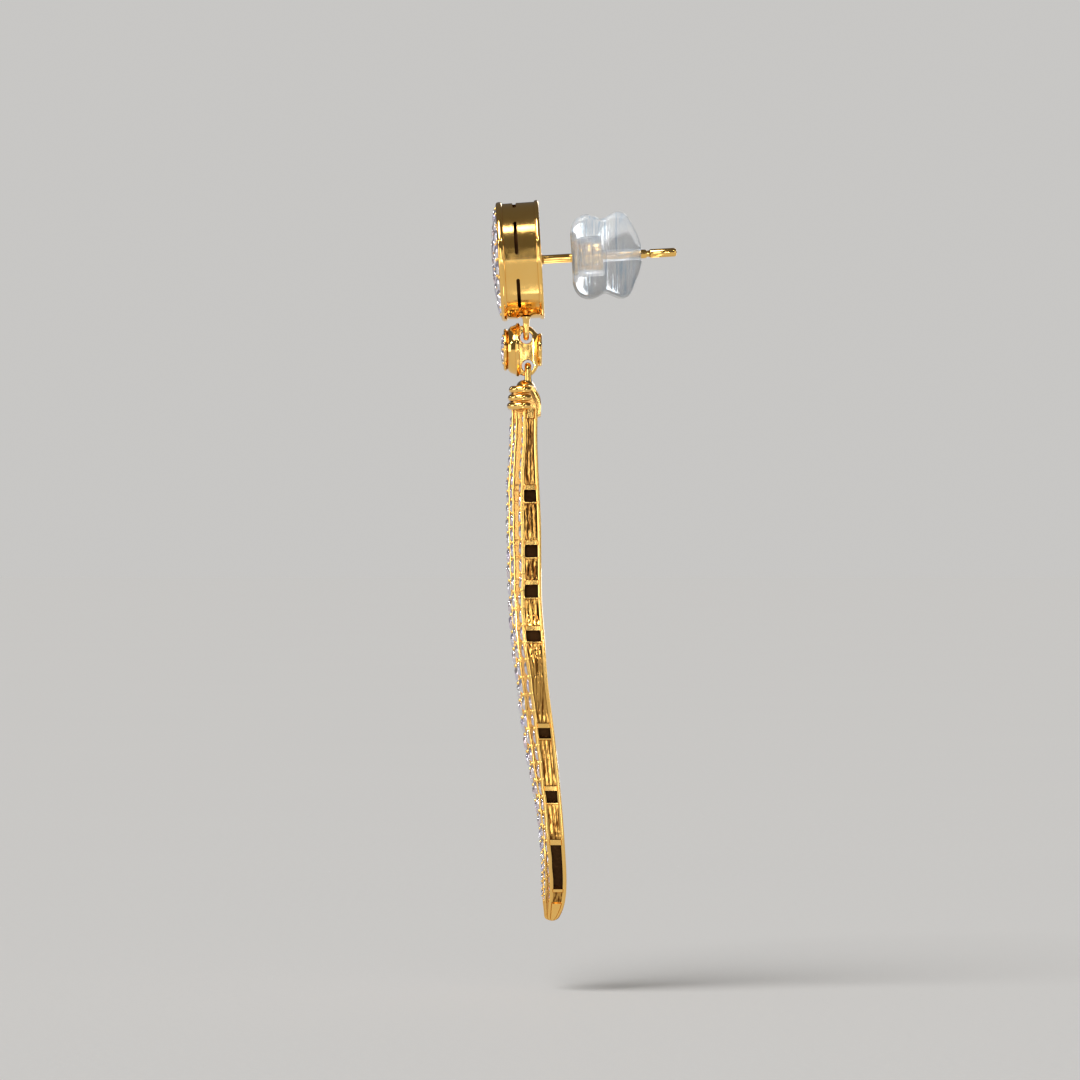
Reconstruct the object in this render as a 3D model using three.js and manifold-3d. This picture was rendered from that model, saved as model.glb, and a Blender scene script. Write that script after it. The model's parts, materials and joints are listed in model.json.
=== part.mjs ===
// A dangle earring: a round paved stud on a post, a small paved link, a long paved
// tassel pendant, and a clear butterfly back that pushes onto the post.
// Millimetres, +Z up, -Y to the front (the paved faces), +Y back along the post.
// The origin is the centre of the stud's back face, where it lies on the ear lobe.

import * as THREE from 'three';
import { mergeVertices } from 'three/addons/utils/BufferGeometryUtils.js';
import Module from 'manifold-3d';

const wasm = await Module();
wasm.setup();

// ---------------------------------------------------------------- driving dimensions

const GAP = 0.05;                    // between two pieces that are set into each other
const HEAD_TILT = 3.2 * Math.PI / 180;  // the stud nods forward under the pendant's pull

const HEAD = {
  radius: 4.9,
  rimFront: -3.5,
  wallInset: 0.13,                   // the wall lies this far inside its two rims
  frontRimWidth: 0.5,
  backRimWidth: 0.37,
  bevel: 0.12,
  wallThickness: 0.6,
  backThickness: 0.6,
  seatRadius: 4.58,                  // the paved disc sits inside this
  seatDepth: 0.3,
  paveCrown: -3.96,                  // front of the paved dome at its middle
  segments: 48,
};

// Narrow air slots round the wall; the first one's angle runs from +X up towards +Z.
const SLOT = { count: 6, firstAngle: 21.6, width: 0.3, length: 2.9, y: -2.0, cutDepth: 2.4 };

const POST = {
  radius: 0.36,
  tip: 11.1,
  roundedFrom: 10.9,                 // the tip is rounded from here on
  shoulder: 11.05,
  notchStart: 8.55,
  notchEnd: 8.95,
  notchDepth: 0.1,
  segments: 16,
};

const UPPER_EYE = new THREE.Vector3(0, -1.25, -6.4);
const LOWER_EYE = new THREE.Vector3(0, -1.11, -8.73);
const STAPLE = { wire: 0.25, halfWidth: 0.95, top: -4.62, corner: 0.4 };
const BAIL = { wire: 0.28, halfWidth: 0.98, foot: -10.55, corner: 0.42 };

const LINK = {
  centreZ: -7.4,
  drumRadius: 2.2,
  drumBack: -1.76,
  faceRadius: 1.58,
  faceFront: -3.1,
  paveCrown: -3.25,
  paveRadius: 1.4,
  seatDepth: 0.26,
  discRadius: 1.36,
  discBack: 0.04,
  discFront: -0.3,
  webHalf: 0.5,
  webSet: 0.1,                       // the web runs this far into drum and disc
  eyeRadius: 0.5,
  edge: 0.08,
  rearRim: 0.34,                     // the drum's rear rim ends this far in front of its back
  waist: { y: -2.56, radius: 1.96 },
  segments: 32,
};

// The web's outline from its lower front corner round to its upper one.
const WEB_EDGE = [
  { y: LINK.drumBack - LINK.webSet, rise: -2.0 },
  { y: -1.46, rise: -2.16 },
  { y: -0.81, rise: -2.14 },
  { y: -0.45, rise: -1.75 },
  { y: LINK.discFront + LINK.webSet, rise: -1.25 },
  { y: LINK.discFront + LINK.webSet, rise: 1.2 },
  { y: -0.45, rise: 1.45 },
  { y: -0.9, rise: 1.95 },
  { y: -1.56, rise: 1.98 },
  { y: LINK.drumBack - LINK.webSet, rise: 1.9 },
];

const COLLAR = {
  ribs: [
    { z: -10.72, front: -2.66 },
    { z: -11.38, front: -2.74 },
    { z: -12.04, front: -2.82 },
  ],
  ribHeight: 0.6,
  ribBevel: 0.252,
  ribBack: -0.42,
  halfWidth: 2.75,
  coreInset: 0.3,                    // the core lies this far inside the ribs
  neck: { top: -9.86, base: -10.6, topRadius: 0.45, baseRadius: 0.8, widening: 1.7, y: -1.2 },
};

// The collar's core from its upper front corner over the rounded back and round again:
// y, and how far below the top rib's upper face.
const CORE_EDGE = [
  { y: -2.36, drop: 0.08 },
  { y: -1.0, drop: 0 },
  { y: -0.55, drop: 0.32 },
  { y: -0.22, drop: 0.85 },
  { y: -0.06, drop: 1.5 },
  { y: -0.04, drop: 2.4 },
  { y: -0.3, drop: 2.5 },
  { y: -0.4, drop: 1.95 },
  { y: -2.36, drop: 1.95 },
];

const STRANDS = 5;
const STRAND_GAP = 0.14;
const PENDANT_STATIONS = 18;
const RIM_WIDTH = 0.28;              // polished rims along the outer strands' side walls
const PANEL = { depth: 0.16, top: -13.2, bottom: -52.6 };  // the sunk wall between those rims
const CHANNEL = { depth: 0.34, lip: 0.17, top: -12.4, bottom: -52.6 };  // holds the stones
const LIP_DROP = 0.06;               // the channel's lips lie this far behind the stones
const PAST_SIDE = 6;                 // beyond the pendant's side, for slabs and cuts
const PAST_FRONT = 4;                // beyond its front and back

// Sections down the pendant: z, the middle strand's front, the outer strands' front,
// the common back, and half the width across all the strands.
const PENDANT_SECTIONS = [
  { z: -12.0, front: -2.52, side: -1.5, back: -0.29, half: 2.4 },
  { z: -14.8, front: -2.54, side: -1.6, back: -0.33, half: 2.7 },
  { z: -18.1, front: -2.75, side: -1.76, back: -0.2, half: 3.15 },
  { z: -21.4, front: -2.75, side: -1.76, back: -0.04, half: 3.6 },
  { z: -24.6, front: -2.67, side: -1.68, back: 0.0, half: 4.0 },
  { z: -27.9, front: -2.54, side: -1.72, back: 0.04, half: 4.3 },
  { z: -31.2, front: -2.34, side: -1.56, back: 0.29, half: 4.5 },
  { z: -34.5, front: -1.93, side: -1.11, back: 0.53, half: 4.52 },
  { z: -37.8, front: -1.52, side: -0.7, back: 0.94, half: 4.38 },
  { z: -41.0, front: -1.03, side: -0.33, back: 1.31, half: 4.05 },
  { z: -44.3, front: -0.45, side: 0.04, back: 1.64, half: 3.6 },
  { z: -47.6, front: -0.04, side: 0.33, back: 1.89, half: 3.0 },
  { z: -50.9, front: 0.04, side: 0.6, back: 2.05, half: 2.2 },
  { z: -52.9, front: 0.05, side: 0.5, back: 1.85, half: 1.55 },
  { z: -54.2, front: 0.22, side: 0.4, back: 1.3, half: 0.6 },
];

// Pockets in the outer strands' side walls, each under a cross bar of its own.
const POCKETS = [
  { z: -19.4, height: 0.95, depth: 0.8 },
  { z: -23.9, height: 0.95, depth: 0.8 },
  { z: -27.15, height: 1.0, depth: 0.8 },
  { z: -30.8, height: 0.85, depth: 0.8 },
  { z: -38.7, height: 0.8, depth: 0.8 },
  { z: -43.9, height: 0.95, depth: 0.8 },
  { z: -49.7, height: 3.6, depth: 0.45 },
];
const BAR_ABOVE = 0.42;
const BAR_BELOW = 0.16;

const CLUTCH = {
  front: 2.5,
  back: 8.15,
  halfThickness: 2.3,
  bevel: 0.45,
  bore: 0.46,
  flangeRadius: 2.05,
  flangeFront: 2.7,
  flangeBack: 3.0,
  barrelRadius: 1.45,
  barrelBack: 5.0,
  barrelBore: 0.44,
  frontRib: 3.5,
  ribWidth: 0.4,
  ribRise: 0.1,
  segments: 20,
};

// One quarter of the butterfly's outline: distance along the post and from its axis.
const BUTTERFLY_EDGE = [
  { y: 2.5, r: 0.9 },
  { y: 2.52, r: 2.3 },
  { y: 3.0, r: 3.1 },
  { y: 3.75, r: 3.4 },
  { y: 4.45, r: 3.22 },
  { y: 5.05, r: 2.98 },
  { y: 5.7, r: 3.25 },
  { y: 6.4, r: 3.5 },
  { y: 7.1, r: 3.2 },
  { y: 7.5, r: 2.45 },
  { y: 7.9, r: 1.6 },
  { y: 8.15, r: 0.75 },
];

// ------------------------------------------------------------------------- finishes

const GOLD = { color: 0xf2c14e, roughness: 0.14, metalness: 1.0 };
const PAVE = { color: 0xf3eef5, roughness: 0.18, metalness: 0.1 };
const CLEAR = { color: 0xcfdbe4, roughness: 0.3, metalness: 0.0, transparent: true, opacity: 0.55 };

const finish = properties => new THREE.MeshStandardMaterial(properties);

// ------------------------------------------------------------------- solids and cuts

/** A closed geometry as a solid whose faces point out. */
function solidOf(geometry) {
  const plain = geometry.index ? geometry.toNonIndexed() : geometry.clone();
  plain.deleteAttribute('normal');
  plain.deleteAttribute('uv');
  const merged = mergeVertices(plain, 1e-4);
  const position = merged.attributes.position;
  const index = merged.index.array;
  const a = new THREE.Vector3();
  const b = new THREE.Vector3();
  const c = new THREE.Vector3();
  const faces = [];
  let volume = 0;
  for (let i = 0; i < index.length; i += 3) {
    const [p, q, r] = [index[i], index[i + 1], index[i + 2]];
    if (p === q || q === r || r === p) continue;
    faces.push([p, q, r]);
    a.fromBufferAttribute(position, p);
    b.fromBufferAttribute(position, q);
    c.fromBufferAttribute(position, r);
    volume += a.dot(b.cross(c));
  }
  const outward = volume > 0 ? faces : faces.map(([p, q, r]) => [p, r, q]);
  return new wasm.Manifold(new wasm.Mesh({
    numProp: 3,
    vertProperties: new Float32Array(position.array),
    triVerts: new Uint32Array(outward.flat()),
  }));
}

const joined = solids => solids.reduce((whole, solid) => whole.add(solid));

/** A named mesh of a solid. */
function piece(name, solid, look) {
  const mesh = solid.getMesh();
  const geometry = new THREE.BufferGeometry();
  geometry.setAttribute('position', new THREE.BufferAttribute(mesh.vertProperties, 3));
  geometry.setIndex(new THREE.BufferAttribute(mesh.triVerts, 1));
  geometry.computeVertexNormals();
  const result = new THREE.Mesh(geometry, finish(look));
  result.name = name;
  return result;
}

/** A group turning about a pivot, holding meshes that are drawn in the earring's frame. */
function hungFrom(pivot, meshes) {
  const group = new THREE.Group();
  group.position.copy(pivot);
  for (const mesh of meshes) {
    mesh.position.copy(pivot).negate();
    group.add(mesh);
  }
  return group;
}

// -------------------------------------------------------------------- basic shapes

const outline = points => new THREE.Shape(points.map(([u, v]) => new THREE.Vector2(u, v)));

/** A ring or disc turned about the Y axis from a closed profile of [radius, y]. */
function turned(profile, segments, z = 0) {
  const points = [...profile, profile[0]].map(([r, y]) => new THREE.Vector2(r, y));
  return solidOf(new THREE.LatheGeometry(points, segments).translate(0, 0, z));
}

/** A side outline of [y, z] points, carried across in X from `low` to `high`. */
function acrossX(shape, low, high, bevel = 0) {
  const sideToX = new THREE.Matrix4().makeBasis(
    new THREE.Vector3(0, 1, 0), new THREE.Vector3(0, 0, 1), new THREE.Vector3(1, 0, 0));
  const geometry = new THREE.ExtrudeGeometry(shape, {
    depth: high - low - 2 * bevel,
    bevelEnabled: bevel > 0,
    bevelThickness: bevel,
    bevelSize: bevel,
    bevelOffset: -bevel,
    bevelSegments: 2,
    curveSegments: 9,
  });
  geometry.translate(0, 0, low + bevel);
  geometry.applyMatrix4(sideToX);
  return solidOf(geometry);
}

/** A front outline of [x, z] points, carried back in Y from `front` to `back`. */
function alongY(shape, front, back) {
  const frontToY = new THREE.Matrix4().makeBasis(
    new THREE.Vector3(1, 0, 0), new THREE.Vector3(0, 0, 1), new THREE.Vector3(0, -1, 0));
  const geometry = new THREE.ExtrudeGeometry(shape, { depth: back - front, bevelEnabled: false });
  geometry.applyMatrix4(frontToY).translate(0, back, 0);
  return solidOf(geometry);
}

/** A box between two corners. */
function block(low, high) {
  const size = high.map((value, i) => value - low[i]);
  const middle = high.map((value, i) => (value + low[i]) / 2);
  return solidOf(new THREE.BoxGeometry(...size).translate(...middle));
}

/** A round wire bent into a U across X; `sign` is 1 if its legs point up, -1 if down. */
function wireU(bar, legEnd, { wire, halfWidth, corner }, sign) {
  const at = (x, z) => new THREE.Vector3(x, bar.y, z);
  const bend = bar.z + sign * corner;
  const inner = halfWidth - corner;
  const route = new THREE.CurvePath();
  route.add(new THREE.LineCurve3(at(-halfWidth, legEnd), at(-halfWidth, bend)));
  route.add(new THREE.QuadraticBezierCurve3(at(-halfWidth, bend), at(-halfWidth, bar.z), at(-inner, bar.z)));
  route.add(new THREE.LineCurve3(at(-inner, bar.z), at(inner, bar.z)));
  route.add(new THREE.QuadraticBezierCurve3(at(inner, bar.z), at(halfWidth, bar.z), at(halfWidth, bend)));
  route.add(new THREE.LineCurve3(at(halfWidth, bend), at(halfWidth, legEnd)));
  const section = new THREE.Shape().absarc(0, 0, wire, 0, 2 * Math.PI);
  return solidOf(new THREE.ExtrudeGeometry(section, { steps: 24, curveSegments: 4, extrudePath: route }));
}

// ----------------------------------------------------------------------------- stud

/** The stud's hollow drum with its two rims and its air slots. */
function headDrum() {
  const { radius, rimFront, wallInset, frontRimWidth, backRimWidth, bevel, wallThickness,
    backThickness, seatRadius, seatDepth, segments } = HEAD;
  const wall = radius - wallInset;
  const inside = radius - wallThickness;
  const seat = rimFront + seatDepth;
  const drum = turned([
    [0, 0],
    [radius - bevel, 0],
    [radius, -bevel],
    [radius, -backRimWidth],
    [wall, -backRimWidth - bevel],
    [wall, rimFront + frontRimWidth + bevel],
    [radius, rimFront + frontRimWidth],
    [radius, rimFront + bevel],
    [radius - bevel, rimFront],
    [seatRadius, rimFront],
    [seatRadius, seat],
    [inside, seat],
    [inside, -backThickness],
    [0, -backThickness],
  ], segments);
  const { count, firstAngle, width, length, y, cutDepth } = SLOT;
  const slots = [];
  for (let i = 0; i < count; i += 1) {
    const turn = THREE.MathUtils.degToRad(firstAngle + i * 360 / count);
    const cutter = new THREE.BoxGeometry(cutDepth, width, length).translate(radius, y, 0).rotateY(-turn);
    slots.push(solidOf(cutter));
  }
  return drum.subtract(joined(slots));
}

/** The post, with the notch that the back clicks into and a rounded tip. */
function headPost() {
  const { radius, tip, roundedFrom, shoulder, notchStart, notchEnd, notchDepth, segments } = POST;
  return turned([
    [0, -HEAD.backThickness / 2],
    [radius, -HEAD.backThickness / 2],
    [radius, notchStart],
    [radius - notchDepth, notchStart + notchDepth],
    [radius - notchDepth, notchEnd - notchDepth],
    [radius, notchEnd],
    [radius, roundedFrom],
    [radius * 0.75, shoulder],
    [radius * 0.35, tip],
    [0, tip],
  ], segments);
}

/** The domed disc that holds the stud's stones. */
function headPave() {
  const { seatRadius, seatDepth, rimFront, paveCrown, segments } = HEAD;
  const edge = seatRadius - GAP;
  const back = rimFront + seatDepth - GAP;
  const rise = rimFront - paveCrown;
  const profile = [[0, back], [edge, back], [edge, rimFront]];
  for (const share of [0.75, 0.5, 0.25, 0]) {
    profile.push([edge * share, rimFront - rise * (1 - share * share)]);
  }
  return turned(profile, segments);
}

/** The staple under the drum that the link hangs on, in the tilted stud's own frame. */
function headStaple() {
  const bar = UPPER_EYE.clone().applyAxisAngle(new THREE.Vector3(1, 0, 0), -HEAD_TILT);
  return wireU(bar, STAPLE.top, STAPLE, 1);
}

// ----------------------------------------------------------------------------- back

/** The metal barrel of the back, with the disc that meets the ear. */
function clutchBarrel() {
  const { barrelBore, flangeRadius, flangeFront, flangeBack, barrelRadius, barrelBack,
    frontRib, ribWidth, ribRise, segments } = CLUTCH;
  const rib = from => [
    [barrelRadius, from],
    [barrelRadius + ribRise, from + ribRise],
    [barrelRadius + ribRise, from + ribWidth - ribRise],
    [barrelRadius, from + ribWidth],
  ];
  return turned([
    [barrelBore, flangeFront],
    [flangeRadius, flangeFront],
    [flangeRadius, flangeBack],
    [barrelRadius, flangeBack],
    ...rib(frontRib),
    ...rib(barrelBack - ribWidth),
    [barrelBore, barrelBack],
  ], segments);
}

/** The clear butterfly moulded round the barrel. */
function clutchCover() {
  const { front, back, halfThickness, bevel, bore, flangeRadius, flangeFront, flangeBack,
    barrelRadius, barrelBack, ribRise, segments } = CLUTCH;
  const room = barrelRadius + ribRise + GAP;
  const upper = BUTTERFLY_EDGE.map(({ y, r }) => new THREE.Vector2(y, r));
  const lower = [...BUTTERFLY_EDGE].reverse().map(({ y, r }) => new THREE.Vector2(y, -r));
  const edge = new THREE.SplineCurve(upper).getPoints(segments);
  const under = new THREE.SplineCurve(lower).getPoints(segments);
  const body = acrossX(new THREE.Shape([...edge, ...under]), -halfThickness, halfThickness, bevel);
  const cavity = turned([
    [0, front - 1],
    [bore, front - 1],
    [bore, flangeFront - GAP],
    [flangeRadius + GAP, flangeFront - GAP],
    [flangeRadius + GAP, flangeBack + GAP],
    [room, flangeBack + GAP],
    [room, barrelBack + GAP],
    [bore, barrelBack + GAP],
    [bore, back + 1],
    [0, back + 1],
  ], segments);
  return body.subtract(cavity);
}

// ----------------------------------------------------------------------------- link

/** The small spool between stud and pendant: drum, web with two eyes, back disc. */
function linkBody() {
  const { centreZ, drumRadius, drumBack, faceRadius, faceFront, paveRadius, seatDepth,
    discRadius, discBack, discFront, webHalf, webSet, eyeRadius, edge, rearRim, waist, segments } = LINK;
  const seat = faceFront + seatDepth;
  const drum = turned([
    [0, drumBack],
    [drumRadius - edge, drumBack],
    [drumRadius, drumBack - edge],
    [drumRadius, drumBack - rearRim],
    [drumRadius - edge, drumBack - rearRim - edge],
    [waist.radius, waist.y],
    [faceRadius + edge, faceFront + 2 * edge],
    [faceRadius, faceFront],
    [paveRadius + GAP, faceFront],
    [paveRadius + GAP, seat],
    [0, seat],
  ], segments, centreZ);
  const disc = turned([
    [0, discFront],
    [discRadius - edge, discFront],
    [discRadius, discFront + edge],
    [discRadius, discBack - edge],
    [discRadius - edge, discBack],
    [0, discBack],
  ], segments, centreZ);
  const web = outline(WEB_EDGE.map(({ y, rise }) => [y, centreZ + rise]));
  for (const eye of [UPPER_EYE, LOWER_EYE]) {
    web.holes.push(new THREE.Path().absarc(eye.y, eye.z, eyeRadius, 0, 2 * Math.PI, true));
  }
  return joined([drum, disc, acrossX(web, -webHalf, webHalf)]);
}

/** The little domed disc that holds the link's stones. */
function linkPave() {
  const { centreZ, paveRadius, faceFront, seatDepth, paveCrown, segments } = LINK;
  const back = faceFront + seatDepth - GAP;
  const rise = faceFront - paveCrown;
  const profile = [[0, back], [paveRadius, back], [paveRadius, faceFront]];
  for (const share of [0.75, 0.45, 0]) {
    profile.push([paveRadius * share, faceFront - rise * (1 - share * share)]);
  }
  return turned(profile, segments, centreZ);
}

// -------------------------------------------------------------------------- pendant

const columnCurve = column => new THREE.SplineCurve(
  PENDANT_SECTIONS.map(row => new THREE.Vector2(row.z, row[column])));

const COLUMN_CURVES = Object.fromEntries(
  ['front', 'side', 'back', 'half'].map(column => [column, columnCurve(column)]));

/** The pendant's section at `share` of the way down its table of sections. */
function sectionAt(share) {
  const section = { z: COLUMN_CURVES.half.getPoint(share).x };
  for (const [column, curve] of Object.entries(COLUMN_CURVES)) {
    section[column] = curve.getPoint(share).y;
  }
  return section;
}

/** Sections at even steps between two heights, upper one first. */
function sectionsBetween(top, bottom) {
  const all = [];
  for (let i = 0; i <= 2 * PENDANT_STATIONS; i += 1) all.push(sectionAt(i / (2 * PENDANT_STATIONS)));
  const inside = all.filter((section, i) => i % 2 === 0 && section.z < top && section.z > bottom);
  return [nearestSection(top), ...inside, nearestSection(bottom)];
}

/** The section at height `z`. */
function nearestSection(z) {
  let low = 0;
  let high = 1;
  for (let i = 0; i < 40; i += 1) {
    const middle = (low + high) / 2;
    if (sectionAt(middle).z > z) low = middle;
    else high = middle;
  }
  return sectionAt((low + high) / 2);
}

/** How far a strand's front lies back from the middle strand's: 0 in the middle, 1 outside. */
function setBack(strand) {
  const steps = Math.abs(strand - (STRANDS - 1) / 2) / ((STRANDS - 1) / 2);
  return steps ** 1.6;
}

const frontOf = (section, strand) => THREE.MathUtils.lerp(section.front, section.side, setBack(strand));

/** A slab in X of everything between two lines of the side view. */
function sideSlab(sections, frontLine, backLine) {
  const down = sections.map(section => [frontLine(section), section.z]);
  const up = [...sections].reverse().map(section => [backLine(section), section.z]);
  return acrossX(outline([...down, ...up]), -PAST_SIDE, PAST_SIDE);
}

/** A slab in Y of one strand's width, narrowed at each side by its inset. */
function strandSlab(sections, strand, insetLeft, insetRight) {
  const edge = (section, line) => section.half * (2 * line / STRANDS - 1);
  const left = sections.map(section => [edge(section, strand) + insetLeft, section.z]);
  const right = [...sections].reverse().map(section => [edge(section, strand + 1) - insetRight, section.z]);
  return alongY(outline([...left, ...right]), -PAST_FRONT, PAST_FRONT);
}

/** How far a strand stops short of its share of the width, at its left and at its right. */
const strandInsets = strand => [
  strand === 0 ? 0 : STRAND_GAP / 2,
  strand === STRANDS - 1 ? 0 : STRAND_GAP / 2,
];

/** The sunk panel in the outer wall of the first or last strand, with its cross bars left. */
function sidePanel(sections, strand, front) {
  const sunk = sideSlab(sectionsBetween(PANEL.top, PANEL.bottom),
    section => front(section) + RIM_WIDTH, section => section.back - RIM_WIDTH);
  const core = strandSlab(sections, strand,
    strand === 0 ? PANEL.depth : -1, strand === 0 ? -1 : PANEL.depth);
  const crossBar = (low, high) => block([-PAST_SIDE, -PAST_FRONT, low], [PAST_SIDE, PAST_FRONT, high]);
  const bars = POCKETS.flatMap(({ z, height }) => [
    crossBar(z + height / 2, z + height / 2 + BAR_ABOVE),
    crossBar(z - height / 2 - BAR_BELOW, z - height / 2),
  ]);
  return sunk.subtract(core).subtract(joined(bars));
}

/** One strand: a bar with a channel for stones in front and, outside, a panelled wall. */
function strandBar(strand) {
  const sections = sectionsBetween(PENDANT_SECTIONS[0].z, PENDANT_SECTIONS.at(-1).z);
  const front = section => frontOf(section, strand) + LIP_DROP;
  const [left, right] = strandInsets(strand);
  let bar = sideSlab(sections, front, section => section.back)
    .intersect(strandSlab(sections, strand, left, right));
  if (strand === 0 || strand === STRANDS - 1) bar = bar.subtract(sidePanel(sections, strand, front));
  const channelSections = sectionsBetween(CHANNEL.top, CHANNEL.bottom);
  const channel = sideSlab(channelSections, () => -PAST_FRONT,
    section => frontOf(section, strand) + CHANNEL.depth)
    .intersect(strandSlab(channelSections, strand, left + CHANNEL.lip, right + CHANNEL.lip));
  return bar.subtract(channel);
}

/** The paved strip that lies in one strand's channel. */
function strandPave(strand) {
  const sections = sectionsBetween(CHANNEL.top - GAP, CHANNEL.bottom + GAP);
  const [left, right] = strandInsets(strand);
  const inset = CHANNEL.lip + GAP;
  return sideSlab(sections, section => frontOf(section, strand),
    section => frontOf(section, strand) + CHANNEL.depth - GAP)
    .intersect(strandSlab(sections, strand, left + inset, right + inset));
}

/** The blind pockets in the two outer walls. */
function sidePockets() {
  const cuts = [];
  for (const { z, height, depth } of POCKETS) {
    const sections = [z + height / 2, z - height / 2].map(nearestSection);
    const front = Math.max(...sections.map(section => frontOf(section, 0))) + LIP_DROP + RIM_WIDTH;
    const back = Math.min(...sections.map(section => section.back)) - RIM_WIDTH;
    const floor = Math.min(...sections.map(section => section.half)) - depth;
    cuts.push(block([floor, front, z - height / 2], [PAST_SIDE, back, z + height / 2]));
    cuts.push(block([-PAST_SIDE, front, z - height / 2], [-floor, back, z + height / 2]));
  }
  return joined(cuts);
}

/** The collar of three rounded ribs that binds the strands, with its rounded back. */
function collar() {
  const { ribs, ribHeight, ribBevel, ribBack, halfWidth, coreInset, neck } = COLLAR;
  const band = ({ z, front }) => {
    const radius = (ribBack - front) / 2;
    const middle = (ribBack + front) / 2;
    const flat = halfWidth - radius;
    const shape = new THREE.Shape();
    shape.absarc(flat, middle, radius - ribBevel, -Math.PI / 2, Math.PI / 2);
    shape.absarc(-flat, middle, radius - ribBevel, Math.PI / 2, 3 * Math.PI / 2);
    shape.closePath();
    const geometry = new THREE.ExtrudeGeometry(shape, {
      depth: ribHeight - 2 * ribBevel,
      bevelThickness: ribBevel,
      bevelSize: ribBevel,
      bevelSegments: 2,
      curveSegments: 6,
    });
    return solidOf(geometry.translate(0, 0, z - ribHeight / 2 + ribBevel));
  };
  const top = ribs[0].z + ribHeight / 2;
  const coreHalf = halfWidth - coreInset;
  const core = acrossX(outline(CORE_EDGE.map(({ y, drop }) => [y, top - drop])), -coreHalf, coreHalf);
  const dome = new THREE.CylinderGeometry(neck.topRadius, neck.baseRadius, neck.top - neck.base, 20)
    .rotateX(Math.PI / 2)
    .scale(neck.widening, 1, 1)
    .translate(0, neck.y, (neck.top + neck.base) / 2);
  return joined([...ribs.map(band), core, solidOf(dome)]);
}

/** All of the pendant's metal, cast as one: bail, neck, collar and strands. */
function pendantFrame() {
  const bars = [];
  for (let strand = 0; strand < STRANDS; strand += 1) bars.push(strandBar(strand));
  const bail = wireU(LOWER_EYE, BAIL.foot, BAIL, -1);
  return joined([...bars, collar(), bail]).subtract(sidePockets());
}

// ------------------------------------------------------------------------- assembly

const earring = new THREE.Group();

const stud = new THREE.Group();
stud.rotation.x = HEAD_TILT;
stud.add(
  piece('head_body', joined([headDrum(), headPost(), headStaple()]), GOLD),
  piece('head_pave', headPave(), PAVE),
  piece('clutch_barrel', clutchBarrel(), GOLD),
  piece('clutch_cover', clutchCover(), CLEAR),
);

const link = hungFrom(UPPER_EYE, [
  piece('link_body', linkBody(), GOLD),
  piece('link_pave', linkPave(), PAVE),
]);

const strips = [];
for (let strand = 0; strand < STRANDS; strand += 1) {
  strips.push(piece(`pendant_pave_${strand + 1}`, strandPave(strand), PAVE));
}
const pendant = hungFrom(LOWER_EYE, [piece('pendant_frame', pendantFrame(), GOLD), ...strips]);

earring.add(stud, link, pendant);

export default earring;
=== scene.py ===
"""A long dangle earring: paved stud on a post, small paved link, paved tassel pendant, clear butterfly back.

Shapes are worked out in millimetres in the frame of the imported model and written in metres.
"""

import json
import logging
import math
import random
from dataclasses import dataclass, field
from enum import Enum, IntEnum
from typing import Callable, Mapping, Sequence

import bmesh
import bpy
import numpy as np
from mathutils import Matrix, Vector


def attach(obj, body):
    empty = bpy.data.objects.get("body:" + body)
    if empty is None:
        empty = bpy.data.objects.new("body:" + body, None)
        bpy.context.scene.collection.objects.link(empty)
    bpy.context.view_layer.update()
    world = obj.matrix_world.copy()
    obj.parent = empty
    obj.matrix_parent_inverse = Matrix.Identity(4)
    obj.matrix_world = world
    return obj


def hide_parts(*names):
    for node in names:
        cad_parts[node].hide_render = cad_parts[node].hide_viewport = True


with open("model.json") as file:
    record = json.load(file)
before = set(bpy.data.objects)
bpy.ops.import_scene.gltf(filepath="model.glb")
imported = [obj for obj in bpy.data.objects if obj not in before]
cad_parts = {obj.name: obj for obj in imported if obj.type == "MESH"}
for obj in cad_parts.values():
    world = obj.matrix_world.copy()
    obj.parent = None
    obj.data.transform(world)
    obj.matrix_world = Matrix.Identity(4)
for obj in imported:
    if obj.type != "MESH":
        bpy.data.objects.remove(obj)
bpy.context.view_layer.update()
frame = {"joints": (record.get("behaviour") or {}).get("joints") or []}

MM = 0.001
LOG = logging.getLogger("earring")

Colour = tuple[float, float, float]
Pair = tuple[float, float]

# Shorter than this, in millimetres, is no length at all.
SPECK = 1e-6


# ------------------------------------------------------------------ places from the frame


def joint_named(name: str) -> Mapping[str, object]:
    """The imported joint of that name."""
    return next(joint for joint in frame["joints"] if joint["name"] == name)


def in_mm(place: Sequence[float]) -> Vector:
    """A place given in metres, in millimetres."""
    return Vector(place) / MM


UPPER_EYE = in_mm(joint_named("link_swing")["pos_m"])
LOWER_EYE = in_mm(joint_named("pendant_swing")["pos_m"])
POST_AXIS = Vector(joint_named("clutch_slide")["axis"])
NOD = Matrix.Rotation(math.atan2(POST_AXIS.z, POST_AXIS.y), 4, "X")


class Slot(Enum):
    """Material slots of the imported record."""

    GOLD = "gold"
    PAVE = "pave"
    CLEAR = "clear_cover"


# ---------------------------------------------------------------------------- shader maths


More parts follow.
